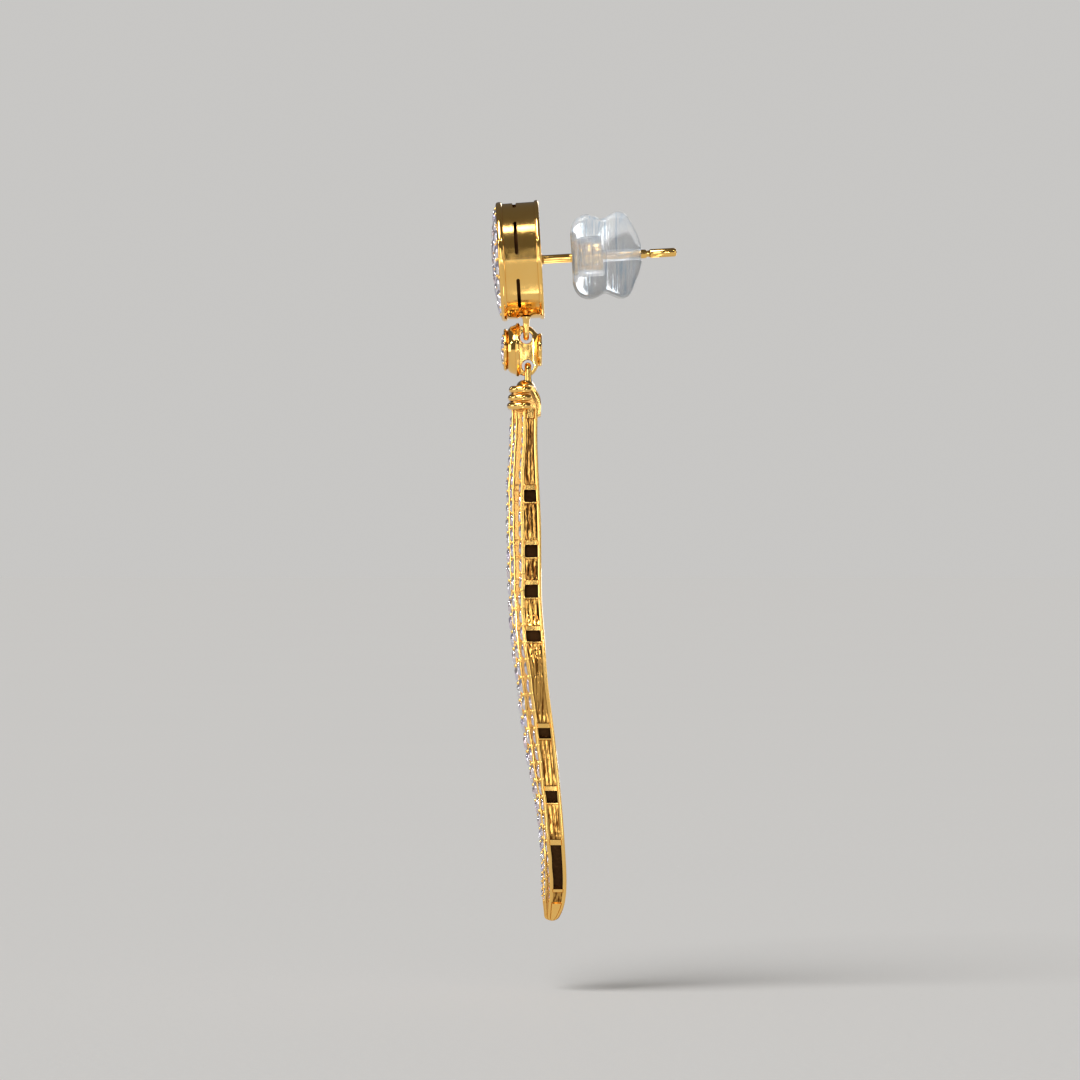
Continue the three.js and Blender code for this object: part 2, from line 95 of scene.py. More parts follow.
class Signal:
    """A shader output that takes part in Python arithmetic; each operator adds a Math node."""

    def __init__(self, graph: "Graph", socket: bpy.types.NodeSocket | None) -> None:
        """Wraps one output socket of a graph, or none for an output node."""
        self.graph = graph
        self.socket = socket

    def __add__(self, other: "Signal | float") -> "Signal":
        """Sum."""
        return self.graph.maths("ADD", self, other)

    def __sub__(self, other: "Signal | float") -> "Signal":
        """Difference."""
        return self.graph.maths("SUBTRACT", self, other)

    def __rsub__(self, other: float) -> "Signal":
        """Difference from a number."""
        return self.graph.maths("SUBTRACT", other, self)

    def __mul__(self, other: "Signal | float") -> "Signal":
        """Product."""
        return self.graph.maths("MULTIPLY", self, other)

    def __pow__(self, other: float) -> "Signal":
        """Power."""
        return self.graph.maths("POWER", self, other)

    __radd__ = __add__
    __rmul__ = __mul__


Operand = Signal | float | Sequence[float]

# Places of a colour Mix node's two colours and of its result.
MIX_FIRST = 6
MIX_SECOND = 7
MIX_RESULT = 2


class Graph:
    """The node tree of a material or of the surround, built from calls."""

    def __init__(self, owner: bpy.types.Material | bpy.types.World) -> None:
        """Empties the owner's node tree.

        Args:
            owner: a material or a world.
        """
        self.owner = owner
        owner.use_nodes = True
        self.tree = owner.node_tree
        self.tree.nodes.clear()

    def add(
        self,
        kind: str,
        settings: Mapping[str, object] | None = None,
        sockets: Mapping[str | int, Operand] | None = None,
        output: str | int = 0,
    ) -> Signal:
        """Adds a node.

        Args:
            kind: node type, without the leading ShaderNode.
            settings: properties, set first.
            sockets: input values or signals, by name or place.
            output: which output to hand back.

        Returns:
            The chosen output.
        """
        node = self.tree.nodes.new("ShaderNode" + kind)
        for key, value in (settings or {}).items():
            setattr(node, key, value)
        for key, value in (sockets or {}).items():
            if isinstance(value, Signal):
                self.tree.links.new(value.socket, node.inputs[key])
            else:
                node.inputs[key].default_value = value
        return Signal(self, node.outputs[output] if node.outputs else None)

    def maths(self, operation: str, first: Signal | float, second: Signal | float) -> Signal:
        """A Math node on two values."""
        return self.add("Math", {"operation": operation}, {0: first, 1: second})

    def blend(self, factor: Signal, first: Signal | Colour, second: Signal | Colour) -> Signal:
        """A colour between two colours.

        Args:
            factor: 0 for the first, 1 for the second.
            first: a colour or a colour signal.
            second: a colour or a colour signal.

        Returns:
            The mixed colour.
        """
        ends = [end if isinstance(end, Signal) else (*end, 1.0) for end in (first, second)]
        settings = {"data_type": "RGBA", "clamp_factor": True}
        sockets = {0: factor, MIX_FIRST: ends[0], MIX_SECOND: ends[1]}
        return self.add("Mix", settings, sockets, output=MIX_RESULT)

    def place(self, stretch: Sequence[float] = (1.0, 1.0, 1.0)) -> Signal:
        """Object coordinates in millimetres.

        Args:
            stretch: scale along each axis.

        Returns:
            The place, as a vector.
        """
        coordinates = self.add("TexCoord", output="Object")
        scale = tuple(value / MM for value in stretch)
        return self.add("Mapping", {"vector_type": "POINT"}, {"Vector": coordinates, "Scale": scale})

    def noise(self, size: float, detail: float = 2.0, stretch: Sequence[float] = (1.0, 1.0, 1.0)) -> Signal:
        """Soft noise.

        Args:
            size: width of its features, in millimetres.
            detail: octaves.
            stretch: frequency along each axis.

        Returns:
            A value about 0.5.
        """
        sockets = {"Vector": self.place(stretch), "Scale": 1.0 / size, "Detail": detail}
        return self.add("TexNoise", {}, sockets)

    def bump(self, height: Signal, depth: float, below: Signal | None = None) -> Signal:
        """A bumped normal.

        Args:
            height: value from 0 to 1.
            depth: its full height, in millimetres.
            below: a normal to add to.

        Returns:
            The normal.
        """
        sockets: dict[str | int, Operand] = {"Height": height, "Strength": 1.0, "Distance": depth * MM}
        if below is not None:
            sockets["Normal"] = below
        return self.add("Bump", {}, sockets)

    def finish(self, sockets: Mapping[str, Operand]) -> bpy.types.Material:
        """Closes a material's graph with a Principled shader.

        Args:
            sockets: the shader's inputs.

        Returns:
            The material.
        """
        shader = self.add("BsdfPrincipled", {}, sockets)
        self.add("OutputMaterial", {}, {"Surface": shader})
        return self.owner


# ------------------------------------------------------------------------------- finishes


@dataclass(frozen=True)
class GoldFinish:
    """Gold plate over cast and polished metal, with painted shade in its crevices; sizes in millimetres, the
    rest as shares.
    """

    name: str
    bright: Colour = (1.0, 0.66, 0.22)
    warm: Colour = (0.97, 0.55, 0.13)
    # Colour of the painted shade in crevices; the painted reflection streaks darken towards it too.
    crevice_shade: Colour = (0.42, 0.15, 0.02)
    roughness: float = 0.07
    roughness_spread: float = 0.10
    drift_size: float = 2.2
    wear_size: float = 0.5
    ripple: float = 0.012
    ripple_size: float = 1.6
    hairline: float = 0.0012
    hairline_size: float = 0.07
    hairline_stretch: tuple[float, float, float] = (1.0, 1.0, 0.1)
    # Painted reflection: dark streaks drawn into the colour, standing in for streaky reflections of a dark
    # surround.
    reflection_streak: float = 0.0
    reflection_streak_size: float = 0.16
    reflection_streak_stretch: tuple[float, float, float] = (1.0, 1.0, 0.06)
    reflection_streak_floor: float = 0.42
    reflection_streak_gain: float = 6.0
    crevice_reach: float = 0.35
    crevice_falloff: float = 1.4
    crevice_dullness: float = 0.12
    crevice_samples: int = 6

    def material(self) -> bpy.types.Material:
        """Builds the material: tone drifts, painted shade darkens crevices, painted reflection streaks
        darken the tone where set, and polishing lines break the gloss.

        Returns:
            The material.
        """
        graph = Graph(bpy.data.materials.new(self.name))
        tone = graph.blend(graph.noise(self.drift_size, detail=3.0), self.bright, self.warm)
        # Painted reflection streaks: stretched noise darkens the tone.
        if self.reflection_streak > 0.0:
            reflection_streaks = graph.noise(self.reflection_streak_size, detail=2.0, stretch=self.reflection_streak_stretch)
            share = (reflection_streaks - self.reflection_streak_floor) * (self.reflection_streak_gain * self.reflection_streak)
            tone = graph.blend(share, tone, self.crevice_shade)
        # Painted shade: ambient occlusion darkens the colour towards the crevice colour in crevices and
        # hollows.
        sockets = {"Distance": self.crevice_reach * MM}
        settings = {"samples": self.crevice_samples, "only_local": True}
        open_air = graph.add("AmbientOcclusion", settings, sockets, output="AO")
        shade = (1.0 - open_air) ** self.crevice_falloff
        wear = graph.noise(self.wear_size, detail=4.0)
        lines = graph.noise(self.hairline_size, detail=2.0, stretch=self.hairline_stretch)
        lumps = graph.noise(self.ripple_size, detail=1.0)
        gloss = self.roughness + self.roughness_spread * wear * wear + self.crevice_dullness * shade
        return graph.finish(
            {
                "Base Color": graph.blend(shade, tone, self.crevice_shade),
                "Metallic": 1.0,
                "Roughness": gloss,
                "Normal": graph.bump(lines, self.hairline, graph.bump(lumps, self.ripple)),
            }
        )


@dataclass(frozen=True)
class StoneFinish:
    """Clear foil-backed brilliants with faint painted lilac and rose fire."""

    name: str
    water: Colour = (0.98, 0.98, 1.0)
    lilac: Colour = (0.80, 0.74, 1.0)
    rose: Colour = (1.0, 0.80, 0.84)
    lilac_size: float = 0.9
    lilac_floor: float = 0.42
    lilac_gain: float = 3.2
    rose_size: float = 1.3
    rose_stretch: tuple[float, float, float] = (1.0, 0.7, 1.2)
    rose_floor: float = 0.5
    rose_gain: float = 4.0
    index: float = 2.1
    foil: float = 0.5
    clearness: float = 0.7
    fire_size: float = 0.24
    fire_depth: float = 0.05
    roughness: float = 0.02

    def material(self) -> bpy.types.Material:
        """Builds the material: painted lilac and rose fire tints the stones in patches, and they are alive
        with inner facets.

        Returns:
            The material.
        """
        graph = Graph(bpy.data.materials.new(self.name))
        # Painted fire: noise tints the colour lilac and rose, standing in for coloured flashes of dispersed
        # light.
        cool = graph.noise(self.lilac_size, detail=0.0)
        warm = graph.noise(self.rose_size, detail=0.0, stretch=self.rose_stretch)
        fire_tint = graph.blend((cool - self.lilac_floor) * self.lilac_gain, self.water, self.lilac)
        fire_tint = graph.blend((warm - self.rose_floor) * self.rose_gain, fire_tint, self.rose)
        sockets = {"Vector": graph.place(), "Scale": 1.0 / self.fire_size}
        cells = graph.add("TexVoronoi", {}, sockets, output="Distance")
        return graph.finish(
            {
                "Base Color": fire_tint,
                "Metallic": self.foil,
                "Roughness": self.roughness,
                "IOR": self.index,
                "Transmission Weight": self.clearness,
                "Normal": graph.bump(cells, self.fire_depth),
            }
        )


@dataclass(frozen=True)
class MouldedFinish:
    """Clear moulded plastic, a little milky, with faint flow lines."""

    name: str
    pale: Colour = (0.98, 0.99, 1.0)
    blue: Colour = (0.52, 0.68, 0.84)
    index: float = 1.36
    clearness: float = 0.76
    flow_size: float = 0.20
    flow_stretch: tuple[float, float, float] = (0.5, 1.0, 0.05)
    flow_share: float = 1.6
    flow_depth: float = 0.03
    thread_size: float = 0.10
    thread_stretch: tuple[float, float, float] = (0.6, 1.0, 0.04)
    thread_depth: float = 0.012
    veil_size: float = 1.8
    veil_share: float = 0.8
    milk_floor: float = 1.3
    milk_gain: float = 2.4
    roughness: float = 0.05
    roughness_spread: float = 0.22

    def material(self) -> bpy.types.Material:
        """Builds the material: flow lines and fine threads run across the moulding and cloud it.

        Returns:
            The material.
        """
        graph = Graph(bpy.data.materials.new(self.name))
        flow = graph.noise(self.flow_size, detail=3.0, stretch=self.flow_stretch)
        threads = graph.noise(self.thread_size, detail=1.0, stretch=self.thread_stretch)
        veil = graph.noise(self.veil_size, detail=2.0)
        milk = (flow * self.flow_share + threads + veil * self.veil_share - self.milk_floor) * self.milk_gain
        return graph.finish(
            {
                "Base Color": graph.blend(milk, self.blue, self.pale),
                "Roughness": self.roughness + self.roughness_spread * veil * flow,
                "IOR": self.index,
                "Transmission Weight": self.clearness,
                "Normal": graph.bump(threads, self.thread_depth, graph.bump(flow, self.flow_depth)),
            }
        )


@dataclass(frozen=True)
class PlasterFinish:
    """The pale matt sweep under and behind the earring."""

    name: str
    light: Colour = (0.785, 0.775, 0.755)
    dark: Colour = (0.775, 0.765, 0.748)
    cloud_size: float = 60.0
    grain_size: float = 0.8
    grain_depth: float = 0.02
    roughness: float = 0.55
    roughness_spread: float = 0.2

    def material(self) -> bpy.types.Material:
        """Builds the material: faint clouds and a fine grain.

        Returns:
            The material.
        """
        graph = Graph(bpy.data.materials.new(self.name))
        cloud = graph.noise(self.cloud_size, detail=3.0)
        grain = graph.noise(self.grain_size, detail=2.0)
        return graph.finish(
            {
                "Base Color": graph.blend(cloud, self.light, self.dark),
                "Roughness": self.roughness + self.roughness_spread * grain,
                "Normal": graph.bump(grain, self.grain_depth),
            }
        )


@dataclass(frozen=True)
class Palette:
    """Every material of the earring, made once."""

    polished: bpy.types.Material
    cast: bpy.types.Material
    recess: bpy.types.Material
    fluted: bpy.types.Material
    shadow: bpy.types.Material
    beads: bpy.types.Material
    stones: bpy.types.Material
    clear: bpy.types.Material
    plaster: bpy.types.Material

    @classmethod
    def mixed(cls) -> "Palette":
        """Makes the materials.

        Returns:
            The palette.
        """
        return cls(
            polished=GoldFinish("gold_polished").material(),
            cast=GoldFinish("gold_cast", roughness=0.09, ripple=0.03, ripple_size=1.1).material(),
            # Painted shade: a darker, duller copy of the gold for recessed faces (stone plates, channels,
            # inner walls, the collar's core).
            recess=GoldFinish(
                "gold_recess",
                bright=(0.85, 0.5, 0.16),
                warm=(0.62, 0.31, 0.08),
                roughness=0.22,
                ripple=0.02,
            ).material(),
            # Painted reflection: a darker, streaked copy of the gold for the fluted outer panels, as if they
            # mirrored a dark surround.
            fluted=GoldFinish(
                "gold_fluted",
                bright=(0.78, 0.45, 0.12),
                warm=(0.50, 0.25, 0.05),
                crevice_shade=(0.13, 0.045, 0.008),
                roughness=0.06,
                ripple=0.03,
                ripple_size=0.7,
                hairline=0.008,
                hairline_size=0.11,
                reflection_streak=0.85,
            ).material(),
            # Painted shadow: near-black gold for the pocket floors and the ring inside the stud.
            shadow=GoldFinish(
                "gold_painted_shadow",
                bright=(0.055, 0.025, 0.009),
                warm=(0.025, 0.011, 0.004),
                crevice_shade=(0.012, 0.005, 0.002),
                roughness=0.42,
                ripple=0.06,
                ripple_size=0.5,
            ).material(),
            beads=GoldFinish("gold_beads", roughness=0.06, ripple=0.004, ripple_size=0.3).material(),
            stones=StoneFinish("stone_clear").material(),
            clear=MouldedFinish("moulded_clear").material(),
            plaster=PlasterFinish("plaster").material(),
        )


# ------------------------------------------------------------------------- mesh building


def circle_turns(count: int, offset: float = 0.0) -> list[float]:
    """Even turns round a circle.

    Args:
        count: how many.
        offset: where the first one is, in steps.

    Returns:
        The turns, in radians.
    """
    return [2 * math.pi * (i + offset) / count for i in range(count)]


def rounded(corners: Sequence[Pair], radius: float, steps: int = 3, most: float = 0.45) -> list[Pair]:
    """Eases the corners of a closed outline.

    Args:
        corners: outline, in order.
        radius: how far from a corner its easing starts.
        steps: points on each easing, less one.
        most: the easing's largest share of the shorter side.

    Returns:
        The eased outline; a corner on the turning axis (first value 0) stays sharp.
    """
    eased: list[Pair] = []
    count = len(corners)
    for i, corner in enumerate(corners):
        here = Vector(corner)
        before = Vector(corners[i - 1]) - here
        after = Vector(corners[(i + 1) % count]) - here
        if min(abs(corner[0]), before.length, after.length) < SPECK:
            eased.append(tuple(here))
            continue
        reach = min(radius, most * before.length, most * after.length)
        start = here + before.normalized() * reach
        end = here + after.normalized() * reach
        for step in range(steps + 1):
            t = step / steps
            point = start * (1 - t) ** 2 + here * 2 * t * (1 - t) + end * t**2
            eased.append((point.x, point.y))
    return eased


def half_round(base: float, crest: float, start: float, end: float, steps: int = 10) -> list[Pair]:
    """A half-round rim, as (radius, y) points.

    Args:
        base: radius where the rim meets the wall.
        crest: radius of its crest.
        start: y of its first foot.
        end: y of its second foot.
        steps: points on the rim, less one.

    Returns:
        Points from the first foot to the second.
    """
    points = []
    for i in range(steps + 1):
        angle = math.pi * i / steps
        y = (start + end) / 2 - (end - start) / 2 * math.cos(angle)
        points.append((base + (crest - base) * math.sin(angle), y))
    return points


# A slab's eased edge as (run from its side, inset), in shares of the easing.
SIDE_EASING = ((0.0, 1.0), (0.3, 0.3), (1.0, 0.0))

# Points closer than this, in metres, become one.
WELD = 2e-8

# Angles in degrees above which an edge stays sharp: on metal, on moulded plastic, on beads.
CREASE = 32.0
SOFT_CREASE = 50.0
BEAD_CREASE = 60.0


@dataclass
class Shell:
    """Closed surfaces gathered into one piece, in millimetres, each face with a finish number."""

    points: list[Sequence[float]] = field(default_factory=list)
    faces: list[tuple[int, ...]] = field(default_factory=list)
    finishes: list[int] = field(default_factory=list)

    def add(self, points: Sequence[Sequence[float]], faces: Sequence[Sequence[int]]) -> None:
        """Adds a surface with finish 0.

        Args:
            points: its vertices.
            faces: vertex numbers of each face.
        """
        base = len(self.points)
        self.points.extend(points)
        self.faces.extend(tuple(base + i for i in face) for face in faces)
        self.finishes.extend([0] * len(faces))

    def loft(
        self,
        rings: Sequence[Sequence[Sequence[float]]],
        finish: Callable[[int, int], int] | int = 0,
        looped: bool = False,
    ) -> None:
        """Joins rings of equal length into a closed skin.

        Args:
            rings: closed rings of points.
            finish: finish number, or a function of the ring's number and the point's place in it.
            looped: the last ring joins the first; otherwise both ends are capped.
        """
        base = len(self.points)
        size = len(rings[0])
        for ring in rings:
            self.points.extend(ring)
        spans = len(rings) if looped else len(rings) - 1
        pick = finish if callable(finish) else (lambda _ring, _place: finish)
        for i in range(spans):
            low = base + i * size
            high = base + ((i + 1) % len(rings)) * size
            for j in range(size):
                k = (j + 1) % size
                self.faces.append((low + j, low + k, high + k, high + j))
                self.finishes.append(pick(i, j))
        if not looped:
            last = base + (len(rings) - 1) * size
            self.faces.append(tuple(base + j for j in reversed(range(size))))
            self.faces.append(tuple(last + j for j in range(size)))
            self.finishes.extend([pick(0, 0)] * 2)

    def turned(self, outline: Sequence[Pair], segments: int, centre_z: float = 0.0) -> None:
        """Turns a closed (radius, y) outline about the Y axis.

        Args:
            outline: closed outline.
            segments: steps round the axis.
            centre_z: height of the axis.
        """
        rings = []
        for turn in circle_turns(segments):
            across, up = math.cos(turn), math.sin(turn)
            rings.append([(radius * across, y, centre_z + radius * up) for radius, y in outline])
        self.loft(rings, looped=True)

    def wire(self, route: Sequence[Vector], radii: Sequence[float], sides: int = 16) -> None:
        """Runs a round wire along a route that lies in one X-Z plane.

        Args:
            route: points along the wire's middle.
            radii: the wire's radius at each point.
            sides: corners of its section.
        """
        back = Vector((0, 1, 0))
        rings = []
        for i, point in enumerate(route):
            along = (route[min(i + 1, len(route) - 1)] - route[max(i - 1, 0)]).normalized()
            across = back.cross(along).normalized()
            ring = []
            for turn in circle_turns(sides):
                offset = across * math.cos(turn) + back * math.sin(turn)
                ring.append(tuple(point + offset * radii[i]))
            rings.append(ring)
        self.loft(rings)

    def slab(self, outline: Sequence[Pair], low: float, high: float, ease: float, finish: int = 0) -> None:
        """Carries a (y, z) outline across in X with eased side edges.

        Args:
            outline: closed outline.
            low: lowest x.
            high: highest x.
            ease: how far the edges are eased.
            finish: finish number.
        """
        middle = Vector((sum(y for y, _ in outline), sum(z for _, z in outline))) / len(outline)
        stations = [(low + run * ease, inset * ease) for run, inset in SIDE_EASING]
        stations += [(high - run * ease, inset * ease) for run, inset in reversed(SIDE_EASING)]
        rings = []
        for x, inset in stations:
            ring = []
            for y, z in outline:
                inward = middle - Vector((y, z))
                moved = Vector((y, z)) + inward.normalized() * min(inset, inward.length / 2)
                ring.append((x, moved.x, moved.y))
            rings.append(ring)
        self.loft(rings, finish)

    def piece(
        self,
        name: str,
        materials: Sequence[bpy.types.Material],
        turn: Matrix | None = None,
        crease: float | None = CREASE,
    ) -> bpy.types.Object:
        """Makes the Blender object.

        Args:
            name: its name.
            materials: one for each finish number.
            turn: a turn about the frame's origin.
            crease: angle in degrees above which an edge stays sharp; None leaves every facet flat.

        Returns:
            The object, in metres.
        """
        mesh = bpy.data.meshes.new(name)
        mesh.from_pydata([tuple(c * MM for c in point) for point in self.points], [], self.faces)
        for material in materials:
            mesh.materials.append(material)
        mesh.polygons.foreach_set("material_index", self.finishes)
        tidy = bmesh.new()
        tidy.from_mesh(mesh)
        bmesh.ops.remove_doubles(tidy, verts=tidy.verts, dist=WELD)
        bmesh.ops.dissolve_degenerate(tidy, edges=tidy.edges, dist=WELD / 2)
        bmesh.ops.recalc_face_normals(tidy, faces=tidy.faces)
        tidy.to_mesh(mesh)
        tidy.free()
        if turn is not None:
            mesh.transform(turn)
        result = added(name, mesh)
        smoothed(result, crease)
        return result


def added(name: str, data: bpy.types.ID) -> bpy.types.Object:
    """Puts a new object into the scene.

    Args:
        name: its name.
        data: its mesh, light or camera.

    Returns:
        The object.
    """
    result = bpy.data.objects.new(name, data)
    bpy.context.scene.collection.objects.link(result)
    return result


def smoothed(piece: bpy.types.Object, crease: float | None) -> None:
    """Sets how a piece shades.

    Args:
        piece: the piece.
        crease: angle in degrees above which an edge stays sharp; None leaves every facet flat.
    """
    if crease is None:
        piece.data.shade_flat()
        return
    piece.data.shade_smooth()
    piece.data.set_sharp_from_angle(angle=math.radians(crease))


def carved(piece: bpy.types.Object, cutter: bpy.types.Object, crease: float = CREASE) -> None:
    """Cuts one closed piece out of another and discards the cutter.

    Args:
        piece: what is cut.
        cutter: what is taken away.
        crease: angle in degrees above which an edge stays sharp.
    """
    modifier = piece.modifiers.new("carve", "BOOLEAN")
    modifier.operation = "DIFFERENCE"
    modifier.solver = "EXACT"
    modifier.object = cutter
    graph = bpy.context.evaluated_depsgraph_get()
    cut = bpy.data.meshes.new_from_object(piece.evaluated_get(graph))
    piece.modifiers.clear()
    piece.data = cut
    bpy.data.objects.remove(cutter)
    smoothed(piece, crease)


# Where a bent wire's leg has its points, as shares of its run, and the steps round a bend.
LEG_SHARES = (0.0, 0.15, 0.5, 1.0)
BEND_STEPS = 8


def bent_wire(bar: Vector, leg_end: float, half_width: float, corner: float) -> list[Vector]:
    """The middle line of a U of wire across X.

    Args:
        bar: middle of its straight bar.
        leg_end: height at which both legs end.
        half_width: from the middle to a leg.
        corner: radius of its two bends.

    Returns:
        Points from one leg's end to the other's.
    """
    side = 1.0 if leg_end > bar.z else -1.0
    run = bar.z + side * corner - leg_end
    right = [Vector((half_width, bar.y, leg_end + run * share)) for share in LEG_SHARES]
    for step in range(1, BEND_STEPS + 1):
        angle = math.pi / 2 * step / BEND_STEPS
        x = half_width - corner + corner * math.cos(angle)
        right.append(Vector((x, bar.y, bar.z + side * corner * (1 - math.sin(angle)))))
    left = [Vector((-point.x, point.y, point.z)) for point in reversed(right)]
    return right + left


def soldered(count: int, radius: float, swell: Pair) -> list[float]:
    """Radii along a wire that swells into solder at both ends.

    Args:
        count: points along the wire.
        radius: its radius.
        swell: what is added at an end and at the next point.

    Returns:
        The radius at each point.
    """
    radii = [radius] * count
    for place, more in enumerate(swell):
        radii[place] = radii[-1 - place] = radius + more
    return radii


def smooth_line(corners: Sequence[Pair], count: int) -> list[Pair]:
    """A smooth line through points.

    Args:
        corners: the points.
        count: how many points to return, less one.

    Returns:
        Points along the line.
    """
    rows = np.array(corners, float)
    return [tuple(spline(rows, i / count).tolist()) for i in range(count + 1)]


def spline(rows: np.ndarray, share: float) -> np.ndarray:
    """A smooth curve through the rows of a table.

    Args:
        rows: the table, a row for each point.
        share: 0 at the first row, 1 at the last.

    Returns:
        The row at that share of the way.
    """
    span = share * (len(rows) - 1)
    i = min(int(span), len(rows) - 2)
    t = span - i
    p0, p1 = rows[max(i - 1, 0)], rows[i]
    p2, p3 = rows[i + 1], rows[min(i + 2, len(rows) - 1)]
    v1, v2 = (p2 - p0) / 2, (p3 - p1) / 2
    return (2 * p1 - 2 * p2 + v1 + v2) * t**3 + (3 * p2 - 3 * p1 - 2 * v1 - v2) * t**2 + v1 * t + p1


# ------------------------------------------------------------------------------- paving


def level_circle(radius: float, height: float, count: int, offset: float = 0.0) -> list[tuple[float, ...]]:
    """Points at even steps round a level circle.

    Args:
        radius: its radius.
        height: its height.
        count: how many points.
        offset: where the first one is, in steps.

    Returns:
        The points.
    """
    turns = circle_turns(count, offset)
    return [(radius * math.cos(turn), radius * math.sin(turn), height) for turn in turns]


@dataclass(frozen=True)
class Seat:
    """Where a stone sits: the middle of its girdle, the way it faces, its width and its turn."""

    place: Vector
    facing: Vector
    width: float
    turn: float


@dataclass(frozen=True)
class Brilliant:
    """Proportions of a round brilliant, as shares of its width."""

    table: float = 0.29
    shoulder: float = 0.4
    crown: float = 0.17
    shoulder_height: float = 0.095
    girdle: float = 0.03
    waist: float = 0.2
    waist_depth: float = 0.3
    pavilion: float = 0.44

    def facets(self) -> tuple[np.ndarray, list[tuple[int, ...]]]:
        """The stone of width 1, its girdle at height 0 and its table facing up Z.

        Returns:
            Its vertices and its facets.
        """
        points = level_circle(self.table, self.crown, 8)
        points += level_circle(self.shoulder, self.shoulder_height, 8, 0.5)
        points += level_circle(0.5, 0.0, 16)
        points += level_circle(0.5, -self.girdle, 16)
        points += level_circle(self.waist, -self.waist_depth, 8, 0.5)
        points.append((0.0, 0.0, -self.pavilion))
        table, shoulder, upper, lower, waist, culet = 0, 8, 16, 32, 48, 56
        faces: list[tuple[int, ...]] = [tuple(range(8))]
        for i in range(8):
            after = (i + 1) % 8
            before = (i - 1) % 8
            edge, half, far = 2 * i, 2 * i + 1, (2 * i + 2) % 16
            faces.append((table + i, shoulder + i, table + after))
            faces.append((table + i, shoulder + before, upper + edge, shoulder + i))
            faces.append((shoulder + i, upper + edge, upper + half))
            faces.append((shoulder + i, upper + half, upper + far))
            faces.append((upper + edge, lower + edge, lower + half, upper + half))
            faces.append((upper + half, lower + half, lower + far, upper + far))
            faces.append((waist + i, lower + half, lower + edge))
            faces.append((waist + i, lower + far, lower + half))
            faces.append((culet, waist + i, lower + edge, waist + before))
        return np.array(points), faces


SHALLOW = Brilliant(waist_depth=0.13, pavilion=0.19)

# A bead's stem as (radius, height), in shares of its radius.
BEAD_STEM = ((1.05, -1.6), (1.0, -0.2))

# A well under a stone as (radius, height), in shares of the stone's width.
WELL_PROFILE = ((0.485, 0.2), (0.485, -0.02), (0.2, -0.42), (0.1, -0.47))


def seated(shape: np.ndarray, seat: Seat, scale: float) -> list[list[float]]:
    """Moves a shape that faces up Z onto a seat.

    Args:
        shape: its points.
        seat: where it goes.
        scale: its size there.

    Returns:
        The moved points.
    """
    aim = seat.facing.to_track_quat("Z", "Y").to_matrix() @ Matrix.Rotation(seat.turn, 3, "Z")
    return (shape @ np.array(aim).T * scale + np.array(seat.place)).tolist()


def stones_shell(seats: Sequence[Seat], cut: Brilliant = Brilliant()) -> Shell:
    """Brilliants on all the seats.

    Args:
        seats: where they sit.
        cut: the stones' proportions.

    Returns:
        The stones as one shell.
    """
    shape, facets = cut.facets()
    shell = Shell()
    for seat in seats:
        shell.add(seated(shape, seat, seat.width), facets)
    return shell


def beads_shell(seats: Sequence[Seat], sides: int = 10, rows: int = 4) -> Shell:
    """Little raised metal beads, each a dome on a short stem.

    Args:
        seats: where they stand; a seat's width is the bead's.
        sides: corners of a bead's section.
        rows: rings of its dome.

    Returns:
        The beads as one shell.
    """
    profile = list(BEAD_STEM)
    for row in range(rows):
        rise = math.pi / 2 * row / rows
        profile.append((math.cos(rise), math.sin(rise)))
    points = []
    for radius, height in profile:
        points += level_circle(radius, height, sides)
    points.append((0.0, 0.0, 1.0))
    shape = np.array(points)
    faces: list[tuple[int, ...]] = [tuple(reversed(range(sides)))]
    for i in range(len(profile) - 1):
        for j in range(sides):
            k = (j + 1) % sides
            faces.append((i * sides + j, i * sides + k, (i + 1) * sides + k, (i + 1) * sides + j))
    crown = (len(profile) - 1) * sides
    faces.extend((crown + j, crown + (j + 1) % sides, len(points) - 1) for j in range(sides))
    shell = Shell()
    for seat in seats:
        shell.add(seated(shape, seat, seat.width / 2), faces)
    return shell


def wells_shell(seats: Sequence[Seat], sides: int = 20) -> Shell:
    """Tapering wells under the stones, to be cut out of the plate that holds them.

    Args:
        seats: the stones' seats.
        sides: corners of a well's section.

    Returns:
        The wells as one shell.
    """
    circles = [np.array(level_circle(radius, height, sides)) for radius, height in WELL_PROFILE]
    shell = Shell()
    for seat in seats:
        shell.loft([seated(circle, seat, seat.width) for circle in circles])
    return shell


